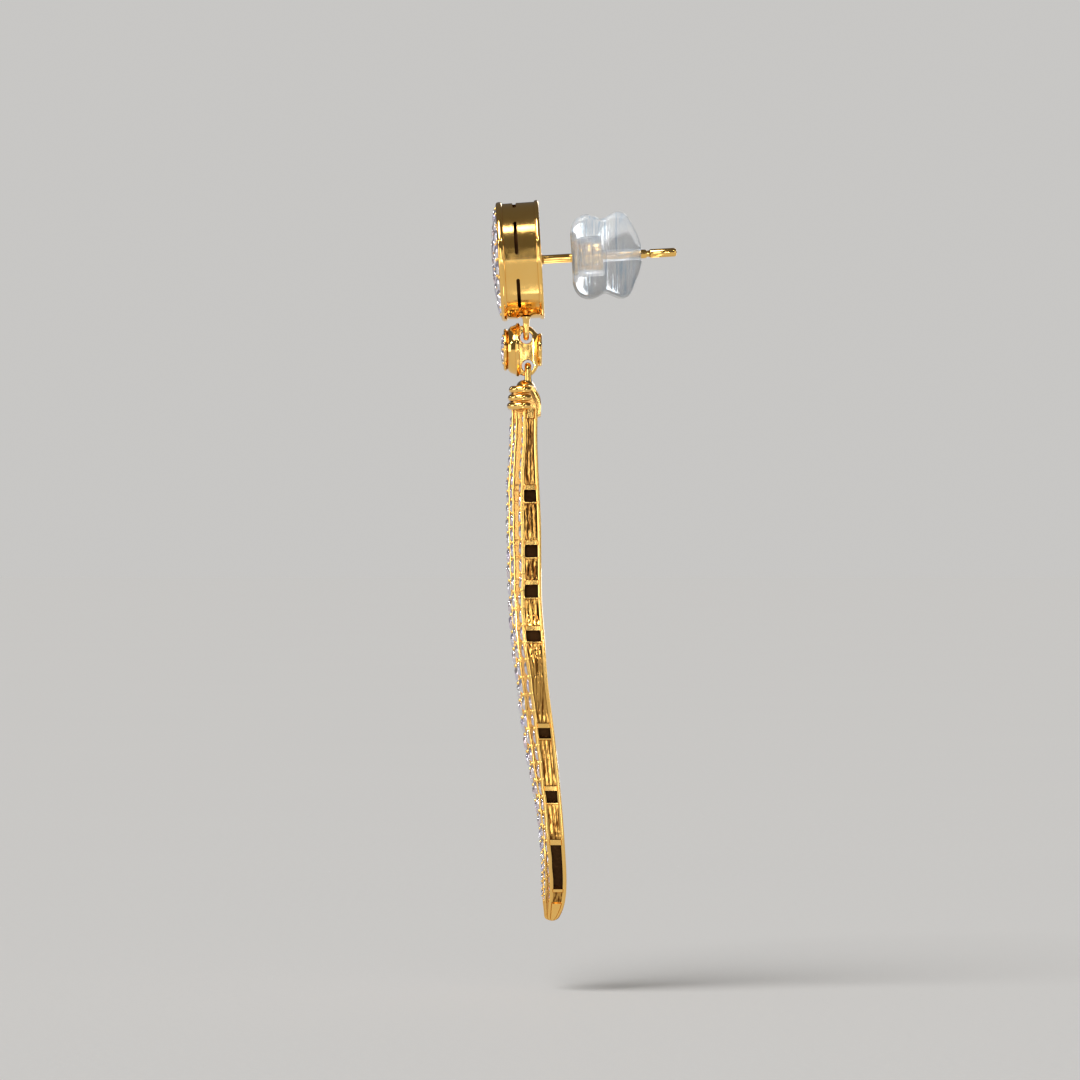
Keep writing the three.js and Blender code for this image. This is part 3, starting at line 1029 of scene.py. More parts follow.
@dataclass(frozen=True)
class PavedDome:
    """A domed round plate paved in rings, facing -Y."""

    radius: float
    back: float
    edge_y: float
    crown_y: float
    centre_z: float
    stone: float
    ring_pitch: float
    rings: tuple[int, ...]
    bead: float
    sink: float = 0.03
    bead_rise: float = 0.01
    neighbours: float = 1.5
    bead_spacing: float = 0.7
    bead_from_edge: float = 0.55
    bead_from_stone: float = 0.42
    segments: int = 96
    front_shares: tuple[float, ...] = (1.0, 0.97, 0.85, 0.7, 0.55, 0.4, 0.2)

    def surface(self, x: float, z: float) -> float:
        """The dome's y at a place."""
        share = min(1.0, math.hypot(x, z - self.centre_z) / self.radius)
        return self.edge_y - (self.edge_y - self.crown_y) * (1 - share * share)

    def facing(self, x: float, z: float) -> Vector:
        """The dome's outward direction at a place."""
        slope = 2 * (self.edge_y - self.crown_y) / self.radius**2
        return Vector((slope * x, -1.0, slope * (z - self.centre_z))).normalized()

    def seat(self, x: float, z: float, width: float, sink: float, turn: float) -> Seat:
        """A seat on the dome.

        Args:
            x: its place across.
            z: its height.
            width: the stone's or bead's width.
            sink: how far its middle lies under the surface.
            turn: its turn about its own axis.

        Returns:
            The seat.
        """
        facing = self.facing(x, z)
        place = Vector((x, self.surface(x, z), z)) - facing * sink
        return Seat(place, facing, width, turn)

    def stone_seats(self, rng: random.Random) -> list[Seat]:
        """Rings of stones round a middle one.

        Args:
            rng: turns the stones.

        Returns:
            Their seats.
        """
        seats = [self.seat(0.0, self.centre_z, self.stone, self.sink, 0.0)]
        for number, count in enumerate(self.rings, start=1):
            for turn in circle_turns(count, 0.5 * (number % 2)):
                x = number * self.ring_pitch * math.cos(turn)
                z = self.centre_z + number * self.ring_pitch * math.sin(turn)
                seats.append(self.seat(x, z, self.stone, self.sink, rng.uniform(0, math.pi)))
        return seats

    def bead_seats(self, stones: Sequence[Seat]) -> list[Seat]:
        """Beads in the gaps: one between each three neighbouring stones and one at each outer gap.

        Args:
            stones: the stones' seats.

        Returns:
            The beads' seats.
        """
        near = self.neighbours * self.stone
        spots: list[Pair] = []
        for i, first in enumerate(stones):
            for j in range(i + 1, len(stones)):
                second = stones[j]
                if (first.place - second.place).length > near:
                    continue
                for third in stones[j + 1:]:
                    if max((first.place - third.place).length, (second.place - third.place).length) > near:
                        continue
                    middle = (first.place + second.place + third.place) / 3
                    spots.append((middle.x, middle.z))
        reach = min(
            self.radius - self.bead_from_edge * self.bead,
            len(self.rings) * self.ring_pitch + self.bead_from_stone * self.stone,
        )
        for turn in circle_turns(self.rings[-1], 0.5 + 0.5 * (len(self.rings) % 2)):
            spots.append((reach * math.cos(turn), self.centre_z + reach * math.sin(turn)))
        kept: list[Pair] = []
        for spot in spots:
            if all(math.dist(spot, other) > self.bead_spacing * self.bead for other in kept):
                kept.append(spot)
        return [self.seat(x, z, self.bead, -self.bead_rise, 0.0) for x, z in kept]

    def plate(self) -> Shell:
        """The plate itself, before its wells are cut.

        Returns:
            Its shell.
        """
        front = []
        for share in self.front_shares:
            reach = self.radius * share
            front.append((reach, self.surface(reach, self.centre_z)))
        outline = [(0.0, self.back), (self.radius, self.back), *front, (0.0, self.crown_y)]
        shell = Shell()
        shell.turned(outline, self.segments, self.centre_z)
        return shell


# ------------------------------------------------------------------------- sub-assemblies


@dataclass
class Assembly:
    """A sub-assembly that rides on one body of the frame."""

    palette: Palette
    body: str

    def settle(self, piece: bpy.types.Object, slot: Slot, *nodes: str) -> None:
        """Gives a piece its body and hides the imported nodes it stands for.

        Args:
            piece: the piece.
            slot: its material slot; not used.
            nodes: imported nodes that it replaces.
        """
        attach(piece, self.body)
        if nodes:
            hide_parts(*nodes)
        LOG.info("%s rides on %s, %d faces", piece.name, self.body, len(piece.data.polygons))

    def pave(self, name: str, dome: PavedDome, node: str, turn: Matrix | None, seed: int) -> None:
        """Makes a paved dome: plate with wells, stones and beads.

        Args:
            name: first part of the pieces' names.
            dome: the dome.
            node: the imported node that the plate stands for.
            turn: a turn about the frame's origin.
            seed: fixes how the stones are turned.
        """
        stones = dome.stone_seats(random.Random(seed))
        plate = dome.plate().piece(name + "_plate", [self.palette.recess], turn)
        carved(plate, wells_shell(stones).piece(name + "_wells", [self.palette.recess], turn))
        self.settle(plate, Slot.PAVE, node)
        gems = stones_shell(stones).piece(name + "_stones", [self.palette.stones], turn, crease=None)
        self.settle(gems, Slot.PAVE)
        beads = beads_shell(dome.bead_seats(stones))
        self.settle(beads.piece(name + "_beads", [self.palette.beads], turn, BEAD_CREASE), Slot.GOLD)


@dataclass
class Stud(Assembly):
    """The round stud with its post and the staple that carries the link.

    The post's foot and notch are (radius over the post's, y); its tip is (share of the radius, y).
    """

    radius: float = 4.9
    rim_front: float = -3.5
    wall_inset: float = 0.13
    wall_taper: float = 0.03
    front_rim: float = 0.5
    back_rim: float = 0.37
    wall: float = 0.6
    seat_radius: float = 4.58
    seat_depth: float = 0.3
    seat_lip: tuple[Pair, ...] = ((0.08, -0.02), (0.0, 0.05))
    slots: int = 6
    first_slot: float = 21.6
    slot_width: float = 0.3
    slot_length: float = 2.9
    slot_y: float = -2.0
    slot_sides: int = 16
    slot_reach: Pair = (-1.2, 0.6)
    lining_gap: float = 0.35
    lining_wall: float = 0.12
    lining_front: float = 0.08
    lining_back: float = 0.1
    post_radius: float = 0.36
    post_tip: float = 11.1
    notch: float = 8.75
    foot_profile: tuple[Pair, ...] = ((0.24, -0.3), (0.24, 0.0), (0.1, 0.05), (0.0, 0.2))
    notch_profile: tuple[Pair, ...] = (
        (0.0, -0.24), (-0.03, -0.17), (-0.1, -0.08), (-0.1, 0.08), (-0.03, 0.17), (0.0, 0.24),
    )
    tip_profile: tuple[Pair, ...] = ((1.0, -0.22), (0.94, -0.12), (0.75, -0.04), (0.4, 0.0))
    staple_wire: float = 0.25
    staple_half: float = 0.95
    staple_foot: float = -4.72
    staple_bend: float = 0.4
    solder: Pair = (0.16, 0.03)
    pave_gap: float = 0.05
    pave_edge: float = 0.02
    drum_segments: int = 180
    lining_segments: int = 72
    post_segments: int = 40

    def slot_cutters(self) -> Shell:
        """Rounded bars that cut the air slots.

        Returns:
            All of them in one shell.
        """
        half = self.slot_width / 2
        reach = self.slot_length / 2 - half
        outline = []
        for turn in circle_turns(self.slot_sides):
            shift = reach if math.sin(turn) > 0 else -reach
            outline.append((self.slot_y + half * math.cos(turn), shift + half * math.sin(turn)))
        cutters = Shell()
        for i in range(self.slots):
            round_drum = Matrix.Rotation(-math.radians(self.first_slot + 360 / self.slots * i), 4, "Y")
            rings = []
            for out in self.slot_reach:
                rings.append([tuple(round_drum @ Vector((self.radius + out, y, z))) for y, z in outline])
            cutters.loft(rings)
        return cutters

    def drum(self) -> bpy.types.Object:
        """The hollow drum with its rims and slots.

        Returns:
            The piece.
        """
        wall = self.radius - self.wall_inset
        inside = self.radius - self.wall
        seat = self.rim_front + self.seat_depth
        front_end = self.rim_front + self.front_rim
        outline = [(0.0, 0.0), *half_round(wall, self.radius, 0.0, -self.back_rim)]
        outline += half_round(wall - self.wall_taper, self.radius, front_end, self.rim_front)
        outline += [(self.seat_radius + out, self.rim_front + back) for out, back in self.seat_lip]
        outline += [(self.seat_radius, seat), (inside, seat), (inside, -self.wall), (0.0, -self.wall)]
        shell = Shell()
        shell.turned(outline, self.drum_segments)
        drum = shell.piece("stud_drum", [self.palette.polished], NOD)
        carved(drum, self.slot_cutters().piece("stud_slots", [self.palette.polished], NOD))
        return drum

    def shadow_lining(self) -> bpy.types.Object:
        """The plain ring inside the drum, behind its slots, in near-black painted shadow.

        Returns:
            The piece.
        """
        outer = self.radius - self.wall - self.lining_gap
        inner = outer - self.lining_wall
        front = self.rim_front + self.seat_depth + self.lining_front
        back = -self.wall + self.lining_back
        shell = Shell()
        shell.turned([(inner, back), (outer, back), (outer, front), (inner, front)], self.lining_segments)
        return shell.piece("stud_shadow_lining", [self.palette.shadow], NOD)

    def post(self) -> bpy.types.Object:
        """The post with its foot, its notch and its rounded tip.

        Returns:
            The piece.
        """
        outline = [(0.0, self.foot_profile[0][1])]
        outline += [(self.post_radius + out, y) for out, y in self.foot_profile]
        outline += [(self.post_radius + out, self.notch + y) for out, y in self.notch_profile]
        outline += [(self.post_radius * share, self.post_tip + y) for share, y in self.tip_profile]
        outline.append((0.0, self.post_tip))
        shell = Shell()
        shell.turned(outline, self.post_segments)
        return shell.piece("stud_post", [self.palette.polished], NOD)

    def staple(self) -> bpy.types.Object:
        """The staple through the link's upper eye, with a little solder at its feet.

        Returns:
            The piece.
        """
        route = bent_wire(UPPER_EYE, self.staple_foot, self.staple_half, self.staple_bend)
        shell = Shell()
        shell.wire(route, soldered(len(route), self.staple_wire, self.solder))
        return shell.piece("stud_staple", [self.palette.polished])

    def build(self) -> None:
        """Makes the stud's pieces."""
        self.settle(self.drum(), Slot.GOLD, "head_body")
        self.settle(self.shadow_lining(), Slot.GOLD)
        self.settle(self.post(), Slot.GOLD)
        self.settle(self.staple(), Slot.GOLD)
        dome = PavedDome(
            radius=self.seat_radius - self.pave_gap,
            back=self.rim_front + self.seat_depth - self.pave_gap,
            edge_y=self.rim_front + self.pave_edge,
            crown_y=-3.88,
            centre_z=0.0,
            stone=1.27,
            ring_pitch=1.29,
            rings=(6, 12, 18),
            bead=0.27,
        )
        self.pave("stud_pave", dome, "head_pave", NOD, seed=3)


@dataclass
class Clutch(Assembly):
    """The butterfly back: a ribbed metal barrel in a clear moulded cover."""

    bore: float = 0.44
    flange: float = 2.05
    flange_front: float = 2.7
    flange_back: float = 3.0
    barrel: float = 1.45
    barrel_back: float = 5.0
    barrel_chamfer: float = 0.1
    barrel_ease: float = 0.05
    segments: int = 72
    hollow_segments: int = 48
    ribs: float = 2.5
    rib_height: float = 0.09
    rib_lag: float = 0.6
    rib_start: float = 0.12
    rib_margin: float = 0.2
    rib_steps: int = 34
    half_thickness: float = 2.3
    ease: float = 0.55
    gap: float = 0.04
    rib_room: float = 0.1
    bore_gap: float = 0.02
    bore_ends: Pair = (1.5, 9.5)
    edge_steps: int = 40
    edge: tuple[Pair, ...] = (
        (2.5, 0.9), (2.52, 2.3), (3.0, 3.1), (3.75, 3.4), (4.45, 3.22), (5.05, 2.98),
        (5.7, 3.25), (6.4, 3.5), (7.1, 3.2), (7.5, 2.45), (7.9, 1.6), (8.15, 0.75),
    )

    def core(self) -> bpy.types.Object:
        """The barrel with its ribs and front disc.

        Returns:
            The piece.
        """
        outline = [
            (self.bore, self.flange_front),
            (self.flange, self.flange_front),
            (self.flange, self.flange_back),
            (self.barrel, self.flange_back),
        ]
        run = self.barrel_back - self.flange_back - self.rib_margin
        for i in range(self.rib_steps + 1):
            share = i / self.rib_steps
            wave = max(0.0, math.sin(share * self.ribs * 2 * math.pi - self.rib_lag))
            swell = self.rib_height * wave**2
            outline.append((self.barrel + swell, self.flange_back + self.rib_start + share * run))
        outline.append((self.barrel - self.barrel_chamfer, self.barrel_back))
        outline.append((self.bore, self.barrel_back))
        shell = Shell()
        shell.turned(rounded(outline, self.barrel_ease, steps=2), self.segments)
        return shell.piece("clutch_core", [self.palette.cast], NOD)

    def cover(self) -> bpy.types.Object:
        """The clear butterfly with the hollow for the barrel.

        Returns:
            The piece.
        """
        upper = smooth_line(self.edge, self.edge_steps)
        outline = upper + [(y, -height) for y, height in reversed(upper)]
        shell = Shell()
        shell.slab(outline, -self.half_thickness, self.half_thickness, self.ease)
        cover = shell.piece("clutch_shell", [self.palette.clear], NOD, SOFT_CREASE)
        bore = self.bore + self.bore_gap
        flange = self.flange + self.gap
        barrel = self.barrel + self.rib_room + self.gap
        start = self.flange_front - self.gap
        step = self.flange_back + self.gap
        end = self.barrel_back + self.gap
        front, back = self.bore_ends
        hollow = Shell()
        hollow.turned(
            [
                (0.0, front), (bore, front), (bore, start), (flange, start), (flange, step),
                (barrel, step), (barrel, end), (bore, end), (bore, back), (0.0, back),
            ],
            self.hollow_segments,
        )
        carved(cover, hollow.piece("clutch_hollow", [self.palette.clear], NOD), SOFT_CREASE)
        return cover

    def build(self) -> None:
        """Makes the back's pieces."""
        self.settle(self.core(), Slot.GOLD, "clutch_barrel")
        self.settle(self.cover(), Slot.CLEAR, "clutch_cover")


@dataclass
class Link(Assembly):
    """The small spool: paved drum in front, web with two eyes, disc behind.

    The shoulder is (inset, forward) from the drum's back edge, the web's outline (y, height over the
    middle), and an eye's profile (x, radius over the eye's).
    """

    centre_z: float = -7.4
    drum: float = 2.2
    drum_back: float = -1.76
    rear_rim: float = 0.36
    rim_height: float = 0.14
    shoulder: tuple[Pair, ...] = ((0.2, 0.5), (0.3, 0.78))
    face: float = 1.58
    face_front: float = -3.1
    front_rim: float = 0.3
    seat: float = 1.45
    seat_depth: float = 0.26
    seat_lip: float = 0.03
    disc: float = 1.36
    disc_rim: float = 0.12
    disc_front: float = -0.3
    disc_back: float = 0.04
    web_half: float = 0.5
    web_ease: float = 0.12
    web_corner: float = 0.3
    web_steps: int = 5
    web_crease: float = 40.0
    web_outline: tuple[Pair, ...] = (
        (-1.86, -2.0), (-1.46, -2.16), (-0.81, -2.14), (-0.45, -1.75), (-0.2, -1.25),
        (-0.2, 1.2), (-0.45, 1.45), (-0.9, 1.95), (-1.56, 1.98), (-1.86, 1.9),
    )
    eye: float = 0.5
    eye_sides: int = 32
    eye_profile: tuple[Pair, ...] = ((-0.7, 0.16), (-0.42, 0.0), (0.42, 0.0), (0.7, 0.16))
    pave_gap: float = 0.04
    pave_edge: float = 0.02
    pave_depth: float = 0.22
    drum_segments: int = 120
    disc_segments: int = 96

    def spool(self) -> bpy.types.Object:
        """Drum and disc.

        Returns:
            The piece.
        """
        back, front = self.drum_back, self.face_front
        seat_back = front + self.seat_depth
        outline = [(0.0, back)]
        outline += half_round(self.drum - self.rim_height, self.drum, back, back - self.rear_rim)
        outline += [(self.drum - inset, back - forward) for inset, forward in self.shoulder]
        outline += half_round(self.face, self.face + self.rim_height, front + self.front_rim, front)
        outline += [(self.seat, front + self.seat_lip), (self.seat, seat_back), (0.0, seat_back)]
        shell = Shell()
        shell.turned(outline, self.drum_segments, self.centre_z)
        disc = half_round(self.disc - self.disc_rim, self.disc, self.disc_front, self.disc_back)
        outline = [(0.0, self.disc_front), *disc, (0.0, self.disc_back)]
        shell.turned(outline, self.disc_segments, self.centre_z)
        return shell.piece("link_spool", [self.palette.polished])

    def web(self) -> bpy.types.Object:
        """The web between drum and disc, with its two eyes.

        Returns:
            The piece.
        """
        corners = [(y, self.centre_z + z) for y, z in self.web_outline]
        outline = rounded(corners, self.web_corner, self.web_steps)
        shell = Shell()
        shell.slab(outline, -self.web_half, self.web_half, self.web_ease)
        web = shell.piece("link_web", [self.palette.cast])
        drills = Shell()
        for eye in (UPPER_EYE, LOWER_EYE):
            rings = []
            for x, flare in self.eye_profile:
                ring = []
                for turn in circle_turns(self.eye_sides):
                    along, up = math.cos(turn), math.sin(turn)
                    ring.append((x, eye.y + (self.eye + flare) * along, eye.z + (self.eye + flare) * up))
                rings.append(ring)
            drills.loft(rings)
        carved(web, drills.piece("link_drills", [self.palette.cast]), self.web_crease)
        return web

    def build(self) -> None:
        """Makes the link's pieces."""
        self.settle(self.spool(), Slot.GOLD, "link_body")
        self.settle(self.web(), Slot.GOLD)
        dome = PavedDome(
            radius=self.seat - self.pave_gap,
            back=self.face_front + self.pave_depth,
            edge_y=self.face_front + self.pave_edge,
            crown_y=-3.2,
            centre_z=self.centre_z,
            stone=0.9,
            ring_pitch=0.93,
            rings=(6,),
            bead=0.2,
            segments=48,
        )
        self.pave("link_pave", dome, "link_pave", None, seed=5)


@dataclass(frozen=True)
class Section:
    """The pendant at one height: fronts of the middle and outer strands, back, half the width."""

    z: float
    front: float
    side: float
    back: float
    half: float


PENDANT_SECTIONS = (
    Section(z=-12.0, front=-2.52, side=-1.5, back=-0.29, half=2.4),
    Section(z=-14.8, front=-2.54, side=-1.6, back=-0.33, half=2.7),
    Section(z=-18.1, front=-2.75, side=-1.76, back=-0.2, half=3.15),
    Section(z=-21.4, front=-2.75, side=-1.76, back=-0.04, half=3.6),
    Section(z=-24.6, front=-2.67, side=-1.68, back=0.0, half=4.0),
    Section(z=-27.9, front=-2.54, side=-1.72, back=0.04, half=4.3),
    Section(z=-31.2, front=-2.34, side=-1.56, back=0.29, half=4.5),
    Section(z=-34.5, front=-1.93, side=-1.11, back=0.53, half=4.52),
    Section(z=-37.8, front=-1.52, side=-0.7, back=0.94, half=4.38),
    Section(z=-41.0, front=-1.03, side=-0.33, back=1.31, half=4.05),
    Section(z=-44.3, front=-0.45, side=0.04, back=1.64, half=3.6),
    Section(z=-47.6, front=-0.04, side=0.33, back=1.89, half=3.0),
    Section(z=-50.9, front=0.04, side=0.6, back=2.05, half=2.2),
    Section(z=-52.9, front=0.05, side=0.5, back=1.85, half=1.55),
    Section(z=-54.2, front=0.22, side=0.4, back=1.3, half=0.6),
)


class PendantForm:
    """The pendant's outline, worked out smoothly from its table of sections."""

    def __init__(self, sections: Sequence[Section], steps: int = 600) -> None:
        """Samples the table closely enough to be read at any height.

        Args:
            sections: the table, from the top down.
            steps: how many samples, less one.
        """
        rows = np.array([(s.z, s.front, s.side, s.back, s.half) for s in sections])
        self.samples = np.array([spline(rows, i / steps) for i in range(steps + 1)])
        self.top = sections[0].z
        self.tip = sections[-1].z

    def at(self, z: float) -> Section:
        """The section at a height.

        Args:
            z: the height.

        Returns:
            The section.
        """
        heights = -self.samples[:, 0]
        values = [float(np.interp(-z, heights, self.samples[:, column])) for column in range(1, 5)]
        return Section(z, *values)


@dataclass(frozen=True)
class Pocket:
    """A deep cell in an outer wall, its floor in near-black painted shadow: its middle height, its height,
    and the bars over and under it.
    """

    z: float
    height: float
    depth: float = 0.8
    bar_above: float = 0.42
    bar_below: float = 0.16


POCKETS = (
    Pocket(z=-19.4, height=0.95),
    Pocket(z=-23.9, height=0.95),
    Pocket(z=-27.15, height=1.0),
    Pocket(z=-30.8, height=0.85),
    Pocket(z=-38.7, height=0.8),
    Pocket(z=-43.9, height=0.95),
    Pocket(z=-49.7, height=3.6, depth=0.45, bar_above=0.5, bar_below=0.3),
)

# How far down each strand's first stone starts, so that the rows are staggered.
STAGGER = (0.0, 0.62, 0.3, 0.8, 0.15)

# The waver of a strand's front, as (size, turns a millimetre in radians, lag from strand to strand).
WAVERS = ((0.018, 1.7, 2.1), (0.012, 3.9, 1.0))

# Points on the round rail along an edge of an outer wall, and half the angle they sweep.
RAIL_POINTS = 7
RAIL_SWEEP = math.radians(62)

# An inner wall: (inset, distance from the front) before and after its groove, the groove's distances
# from the front, and (inset, distance from the back) behind.
INNER_FRONT = ((0.03, 0.02), (0.0, 0.06), (0.0, 0.13), (0.01, 0.17))
INNER_GROOVE = (0.2, 0.4, 0.56)
INNER_MIDDLE = ((0.01, 0.6), (0.0, 0.64))
INNER_BACK = ((0.0, 0.09), (0.04, 0.02))
INNER_ROWS = len(INNER_FRONT) + len(INNER_GROOVE) + len(INNER_MIDDLE) + len(INNER_BACK)

# A strand's crest as (share of the lip, distance from the front); two crests with the channel's
# corners between them have this many points, and these of their faces are the channel's.
CREST = ((0.45, 0.0), (0.85, 0.01), (1.0, 0.03))
CREST_POINTS = 2 * len(CREST) + 2
CHANNEL_FACES = range(2, 5)

# Faces at the front and at the back of an inner wall that are polished, not in the recess's painted shade.
INNER_POLISHED = (3, 4)

# Heights over the tip at which it rounds off.
TIP_RISES = (0.3, 0.15, 0.05)


class Dress(IntEnum):
    """Finish numbers of the pendant's casting; the recess and shadow finishes carry painted shade and the
    fluted finish a painted dark reflection.
    """

    POLISHED = 0
    RECESS_SHADE = 1
    FLUTED_DARK_REFLECTION = 2
    SHADOW = 3


@dataclass
class Strand:
    """One of the pendant's strands: a bar with a channel for stones in front and panelled walls."""

    form: PendantForm
    number: int
    count: int
    gap: float = 0.14
    gap_share: float = 0.22
    set_back_power: float = 1.6
    front_inset: float = 0.06
    lip: float = 0.15
    lip_share: float = 0.3
    rim: float = 0.28
    rim_margin: float = 0.02
    rail_foot: float = 0.09
    panel: float = 0.16
    panel_slack: float = 0.01
    panel_top: float = -13.1
    panel_end: float = -52.7
    bar: float = 0.03
    inner_panel: float = 0.05
    inner_pocket: float = 0.12
    inner_pocket_from: float = 0.3
    channel: float = 0.26
    channel_share: float = 0.6
    channel_rise: float = 0.02
    channel_ramp: float = 0.05
    flutes: int = 3
    flute: float = 0.036
    flute_fade: float = 0.7
    flute_points: int = 4
    back_corner: float = 0.12
    tip_least: float = 0.02
    channel_top: float = -12.45
    channel_end: float = -52.6
    step: float = 0.35
    ramp: float = 0.035
    fluted_from: float = 0.1
    shadow_from: float = 0.4
    stone_most: float = 1.36
    stone_overlap: float = 0.16
    stone_gap: float = 0.04
    stone_rise: float = 0.03
    stone_sink: float = 0.08
    first_stone: float = 0.5
    last_stone: float = 0.2
    slope_reach: float = 0.3
    bead_share: float = 0.19
    bead_more: float = 0.03
    bead_rise: float = 0.03
    bead_lip: float = 0.95
    levels: list[float] = field(default_factory=list)

    def __post_init__(self) -> None:
        """Works out the heights of the rings."""
        self.levels = self.stations()

    def set_back(self) -> float:
        """How far back this strand's front lies: 0 for the middle strand, 1 for the outer two."""
        middle = (self.count - 1) / 2
        return (abs(self.number - middle) / middle) ** self.set_back_power

    def front(self, z: float) -> float:
        """The y of the strand's front, with the faint waver of hand finishing.

        Args:
            z: the height.

        Returns:
            The y.
        """
        section = self.form.at(z)
        waver = sum(size * math.sin(rate * z + lag * self.number) for size, rate, lag in WAVERS)
        return section.front + (section.side - section.front) * self.set_back() + self.front_inset + waver

    def edges(self, z: float) -> Pair:
        """The strand's left and right walls.

        Args:
            z: the height.

        Returns:
            The x of each.
        """
        half = self.form.at(z).half
        width = 2 * half / self.count
        gap = min(self.gap, self.gap_share * width) / 2
        left = -half + self.number * width
        right = left + width
        if self.number > 0:
            left += gap
        if self.number < self.count - 1:
            right -= gap
        return (left, right)

    def panel_depths(self) -> tuple[list[float], list[float]]:
        """The steps of an outer panel, from the top down.

        Returns:
            Heights at which it steps in or out, and its depth at each.
        """
        steps = [(self.panel_top, 0.0, self.panel)]
        for pocket in POCKETS:
            high = pocket.z + pocket.height / 2
            low = pocket.z - pocket.height / 2
            steps.append((high + pocket.bar_above, self.panel, self.bar))
            steps.append((high, self.bar, pocket.depth))
            steps.append((low, pocket.depth, self.bar))
            steps.append((low - pocket.bar_below, self.bar, self.panel))
        steps.append((self.panel_end, self.panel, 0.0))
        heights = [self.form.top]
        depths = [0.0]
        for z, before, after in steps:
            heights += [z + self.ramp, z - self.ramp]
            depths += [before, after]
        return heights + [self.form.tip], depths + [0.0]

    def depth_at(self, z: float) -> float:
        """How deep the outer panel is sunk at a height."""
        heights, depths = self.panel_depths()
        return float(np.interp(-z, [-height for height in heights], depths))

    def stations(self) -> list[float]:
        """Heights of the strand's rings.

        Returns:
            The heights, from the top down.
        """
        heights, _ = self.panel_depths()
        top, tip = self.form.top, self.form.tip
        count = int((top - tip) / self.step)
        heights += [top + (tip - top) * i / count for i in range(count + 1)]
        for end in (self.channel_top, self.channel_end):
            heights += [end, end - self.channel_ramp]
        heights += [tip + rise for rise in TIP_RISES]
        return sorted(set(round(z, 4) for z in heights), reverse=True)

    def flute_rise(self, z: float) -> float:
        """How high the outer panel's flutes stand; they fade out towards the bars.

        Args:
            z: the height.

        Returns:
            Their height as a share of the panel's width.
        """
        if abs(self.depth_at(z) - self.panel) > self.panel_slack:
            return 0.0
        heights, _ = self.panel_depths()
        return self.flute * min(1.0, min(abs(z - height) for height in heights) / self.flute_fade)

    def rail(self) -> list[Pair]:
        """The round rail along an edge of the outer wall.

        Returns:
            Its points as (inset, distance from the edge).
        """
        radius = self.rim / 2
        turns = np.linspace(-RAIL_SWEEP, RAIL_SWEEP, RAIL_POINTS)
        return [(radius * (1 - math.cos(turn)), radius * (1 + math.sin(turn))) for turn in turns]

    def outer_wall(self, z: float, front: float, back: float) -> list[Pair]:
        """A wall that faces away from the other strands, with its rails, panel and flutes.

        Args:
            z: the height.
            front: y of the front.
            back: y of the back.

        Returns:
            Its points as (inset, y), from front to back.
        """
        depth, rise = self.depth_at(z), self.flute_rise(z)
        start = front + self.rim + self.rim_margin
        end = back - self.rim - self.rim_margin
        steps = self.flute_points * self.flutes
        ridges = []
        for i in range(1, steps):
            swell = 0.5 - 0.5 * math.cos(2 * math.pi * self.flutes * i / steps)
            ridges.append((depth - rise * swell * (end - start), start + (end - start) * i / steps))
        foot = min(depth, self.rail_foot)
        rows = [(inset, front + away) for inset, away in self.rail()]
        rows += [(foot, start), (depth, start), *ridges, (depth, end), (foot, end)]
        return rows + [(inset, back - away) for inset, away in reversed(self.rail())]

    def inner_wall(self, z: float, front: float, back: float) -> list[Pair]:
        """A wall that faces another strand, with its shallow groove.

        Args:
            z: the height.
            front: y of the front.
            back: y of the back.

        Returns:
            Its points as (inset, y), from front to back.
        """
        depth = self.depth_at(z)
        groove = min(depth, self.inner_panel) if depth < self.inner_pocket_from else self.inner_pocket
        rows = [(inset, front + away) for inset, away in INNER_FRONT]
        rows += [(groove, front + away) for away in INNER_GROOVE]
        rows += [(inset, front + away) for inset, away in INNER_MIDDLE]
        return rows + [(inset, back - away) for inset, away in INNER_BACK]

    def ring(self, z: float) -> list[Sequence[float]]:
        """The strand's outline at one height.

        Args:
            z: the height.

        Returns:
            Its points: left wall, crests and channel, right wall, back.
        """
        front, back = self.front(z), self.form.at(z).back
        left, right = self.edges(z)
        ends = [self.channel_end - self.channel_ramp, self.channel_end]
        ends += [self.channel_top - self.channel_ramp, self.channel_top]
        open_share = float(np.interp(z, ends, [0.0, 1.0, 1.0, 0.0]))
        deepest = min(self.channel, self.channel_share * (back - front))
        floor = front + self.channel_rise + open_share * deepest
        lip = min(self.lip, self.lip_share * (right - left))
        crest = [(share * lip, front + away) for share, away in CREST] + [(lip, floor)]
        left_wall = self.outer_wall if self.number == 0 else self.inner_wall
        right_wall = self.outer_wall if self.number == self.count - 1 else self.inner_wall
        ring = [(left + inset, y) for inset, y in reversed(left_wall(z, front, back))]
        ring += [(left + inset, y) for inset, y in crest]
        ring += [(right - inset, y) for inset, y in reversed(crest)]
        ring += [(right - inset, y) for inset, y in right_wall(z, front, back)]
        middle = (left + right) / 2
        corner = self.back_corner * (right - left)
        ring += [(right - corner, back), (middle, back), (left + corner, back)]
        rise = z - self.form.tip
        if rise < TIP_RISES[0]:
            keep = math.sqrt(max(self.tip_least, 1 - (1 - rise / TIP_RISES[0]) ** 2))
            centre_y = (front + back) / 2
            ring = [(middle + (x - middle) * keep, centre_y + (y - centre_y) * keep) for x, y in ring]
        return [(x, y, z) for x, y in ring]

